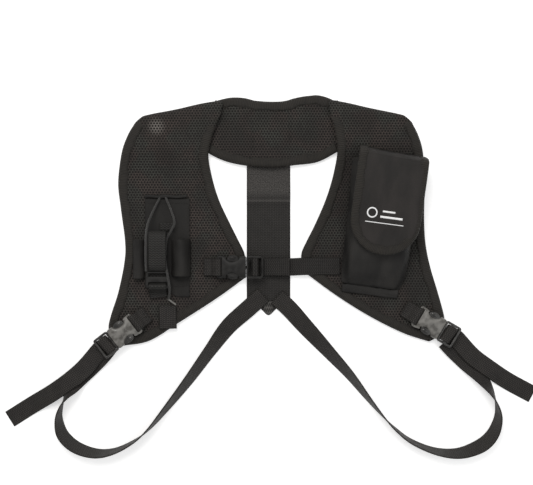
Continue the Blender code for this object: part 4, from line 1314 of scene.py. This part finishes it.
def make_holder():
    def patch(u, v):
        x = -145 + 51 * u
        # painted shade: the foot drops 11 mm lower towards the right, a dark sheet where there is
        # only the shade under the right wall
        foot = -13 - 11 * smoothstep(0.35, 0.75, u)
        y = 88.8 + (foot - 88.8) * v
        return packed(x, y, 7.05 + 0.25 * np.sin(x / 6.0 + y / 11.0) * smoothstep(0, 0.1, v))

    back = cloth("holder_cloth", patch, (36, 60), 0.45, NYLON_HOLDER)
    place(back, "front", "pouch_nylon", "holder_patch")

    span = np.linspace(-145, -97, 50)
    path = packed(span, 91 + 0.4 * np.sin(span / 3.3), 8.7)
    swell = 1.75 + 0.55 * np.exp(-((span + 125) / 5.0) ** 2)
    place(tube("holder_hem_tape", path, swell, NYLON, 12, 0.8), "front", "pouch_nylon",
          "holder_hem")

    def wall(low, high, bulge, lean):
        def surface(u, v):
            x = low[0] + (high[0] - low[0]) * u
            y = low[1] + (high[1] - low[1]) * v
            arch = np.sin(np.pi * u) ** 0.7
            z = HOLDER_OVER + 0.6 + bulge * arch * (1 - lean * v)
            z = z + 0.5 * arch * np.sin(y / 4.0 + x / 7.0)
            return packed(x + 0.8 * np.sin(y / 9.0) * arch, y, z)

        return surface

    for name, low, high, bulge, lean in (
        ("left", (-158, -3), (-146, 42), 4.2, 0.3),
        ("right", (-114, 0), (-93, 42), 13.0, 0.12),
    ):
        shape = wall(low, high, bulge, lean)
        piece = cloth(f"holder_{name}_cloth", shape, (30, 30), 0.55, NYLON_HOLDER)
        place(piece, "front", "pouch_nylon", f"holder_side_{name}")

    x, over = HOLDER_X, HOLDER_OVER
    origin, side = (x, 0, over), np.array([1.0, 0.0, 0.0])
    band = Curve([
        (0, 16, 1.0), (0, 30, 1.0), (0, 42, 1.6), (0, 51, 8.0), (0, 46, 14.5), (0, 30, 15.5),
        (0, 15, 14.0), (0, 8.6, 11.6), (0, 5.8, 7.4), (0, 4.0, 4.2), (0, 0.8, 3.8),
        (0, -3.8, 3.8), (0, -7.4, 5.2), (0, -9.2, 8.0), (0, -11.4, 10.3), (0, -14.2, 9.0),
        (0, -17.5, 4.4), (0.4, -21.0, 1.8), (0.8, -24.0, 1.0),
    ])
    tail = Curve([(10.6, -34, 0.9), (10.8, -48, 0.6), (11.2, -60, 0.4)])
    for name, path, finish, node in (
        ("holder_webbing", band.even(150) + origin, STRAP_RIB, "holder_strap"),
        ("holder_webbing_tail", tail.even(24) + origin, STRAP, "holder_tail"),
    ):
        piece = strap(name, path, side, finish)
        place(piece, "front", "webbing", node)
    top = Curve([(9.5, 60.5, 1.2), (9.7, 52, 1.3)]).even(10) + origin
    place(strap("holder_loop_end", top, side, STRAP_RIB, 16.0), "front", "webbing")

    outline = rounded_box((x - 13, -13.6), (x + 13, 5.2), 2.2)
    slots = [rounded_box((x - 10.6, low), (x + 10.6, high), 0.7, 3)[::-1]
             for low, high in ((-10.4, -6.8), (-0.4, 3.4))]
    lock = moulded("holder_ladder_lock", [outline, *slots], over + 5.4, over + 9.0, 0.8,
                   np.eye(4), PLASTIC_DARK)
    place(lock, "front", "buckle_plastic", "holder_lock")

    ends = [((-144, y, 8.0), (-95, y, 8.0)) for y in (83.5, -11.5)]
    ends += [((x + 3, y, over + 2.2), (x + 16, y, over + 2.2)) for y in (58.6, 56.2, 53.8)]
    ends += [((edge, 80, 8.0), (edge, -12, 8.0)) for edge in (-143.6, -95.6)]
    lines = [(line, UP) for line in ends]
    sew("holder_stitches", "front", lines, 3.2, 2.2, 0.3)


def make_bungee():
    """The elastic cord: up one side of the webbing, through the hem and down again."""
    route = Curve([
        (-142.4, 6, 11.0), (-142.4, 26, 15.0), (-141.8, 47, 16.0), (-140.2, 60, 12.0),
        (-134.6, 75, 6.0), (-129.0, 87.0, 1.8), (-127.2, 91.0, 0.8), (-124.4, 92.0, 0.7),
        (-121.8, 91.0, 0.8), (-119.8, 87.0, 1.8), (-113.4, 72, 6.0), (-110.6, 61.0, 8.0),
        (-114.2, 52.0, 7.0), (-119.6, 42, 6.0), (-121.4, 24, 6.0), (-120.2, 12, 8.0),
        (-118.4, 2.5, 10.6), (-116.2, -10, 9.0), (-116.4, -20, 4.4), (-117.6, -26.2, 2.4),
    ])
    path = route.even(170) + UP * HOLDER_OVER
    cord = tube("bungee_cord", path, 1.3, BRAID)
    place(cord, "front", "bungee_sleeve", "holder_bungee")
    heading = frame_at((-113.6, -29.3), -36.0, HOLDER_OVER + 2.4)
    tip = moved([(-6.2, 0, 0), (-5.0, 0, 0), (4.6, 0, 0), (5.6, 0, 0)], heading)
    end = tube("bungee_end_clip", tip, [0.8, 1.1, 1.1, 0.7], PLASTIC, 14)
    place(end, "front", "bungee_sleeve", "bungee_end")


# --- camera, floor and light


def make_camera():
    data = bpy.data.cameras.new("camera")
    data.lens = CAMERA_LENS
    data.sensor_width = 36.0
    camera = add_object("camera", data)
    camera.location = CAMERA_AT
    bpy.context.scene.camera = camera


def add_light(name, at, size, energy, colour):
    data = bpy.data.lights.new(name, "AREA")
    data.size = size
    data.energy = energy
    data.color = colour
    light = add_object(name, data)
    light.location = at
    light.rotation_euler = (Vector((0, 0.02, 0)) - Vector(at)).to_track_quat("-Z", "Y").to_euler()


def make_stage():
    made = Finish("floor", 0.9, 0.1, colour=0.93)
    made.shader.inputs["Emission Color"].default_value = (1.0, 1.0, 1.0, 1.0)
    made.shader.inputs["Emission Strength"].default_value = FLOOR_GLOW
    verts = [(x * FLOOR_HALF, y * FLOOR_HALF, 0) for x, y in ((-1, -1), (1, -1), (1, 1), (-1, 1))]
    floor = add_mesh("floor", verts, [(0, 1, 2, 3)], made.material)
    world = bpy.data.worlds.new("world")
    world.use_nodes = True
    sky = world.node_tree.nodes["Background"]
    sky.inputs["Color"].default_value = (1.0, 1.0, 1.0, 1.0)
    sky.inputs["Strength"].default_value = SKY_STRENGTH
    bpy.context.scene.world = world
    add_light("key", (-0.35, 0.95, 1.45), 0.9, 15.0, (1.0, 0.98, 0.95))
    add_light("fill", (0.9, -0.3, 1.4), 1.2, 4.0, (0.98, 0.99, 1.0))
    bpy.context.scene.view_settings.view_transform = "Standard"


make_camera()
make_bungee()
for panel_side in PANELS:
    make_panel(panel_side)
make_yoke()
make_back_strap()
make_side_straps()
for buckle in BUCKLES:
    make_buckle(buckle)
    make_tail(buckle)
make_chest_strap()
make_pouch()
make_flap()
make_holder()
make_stage()
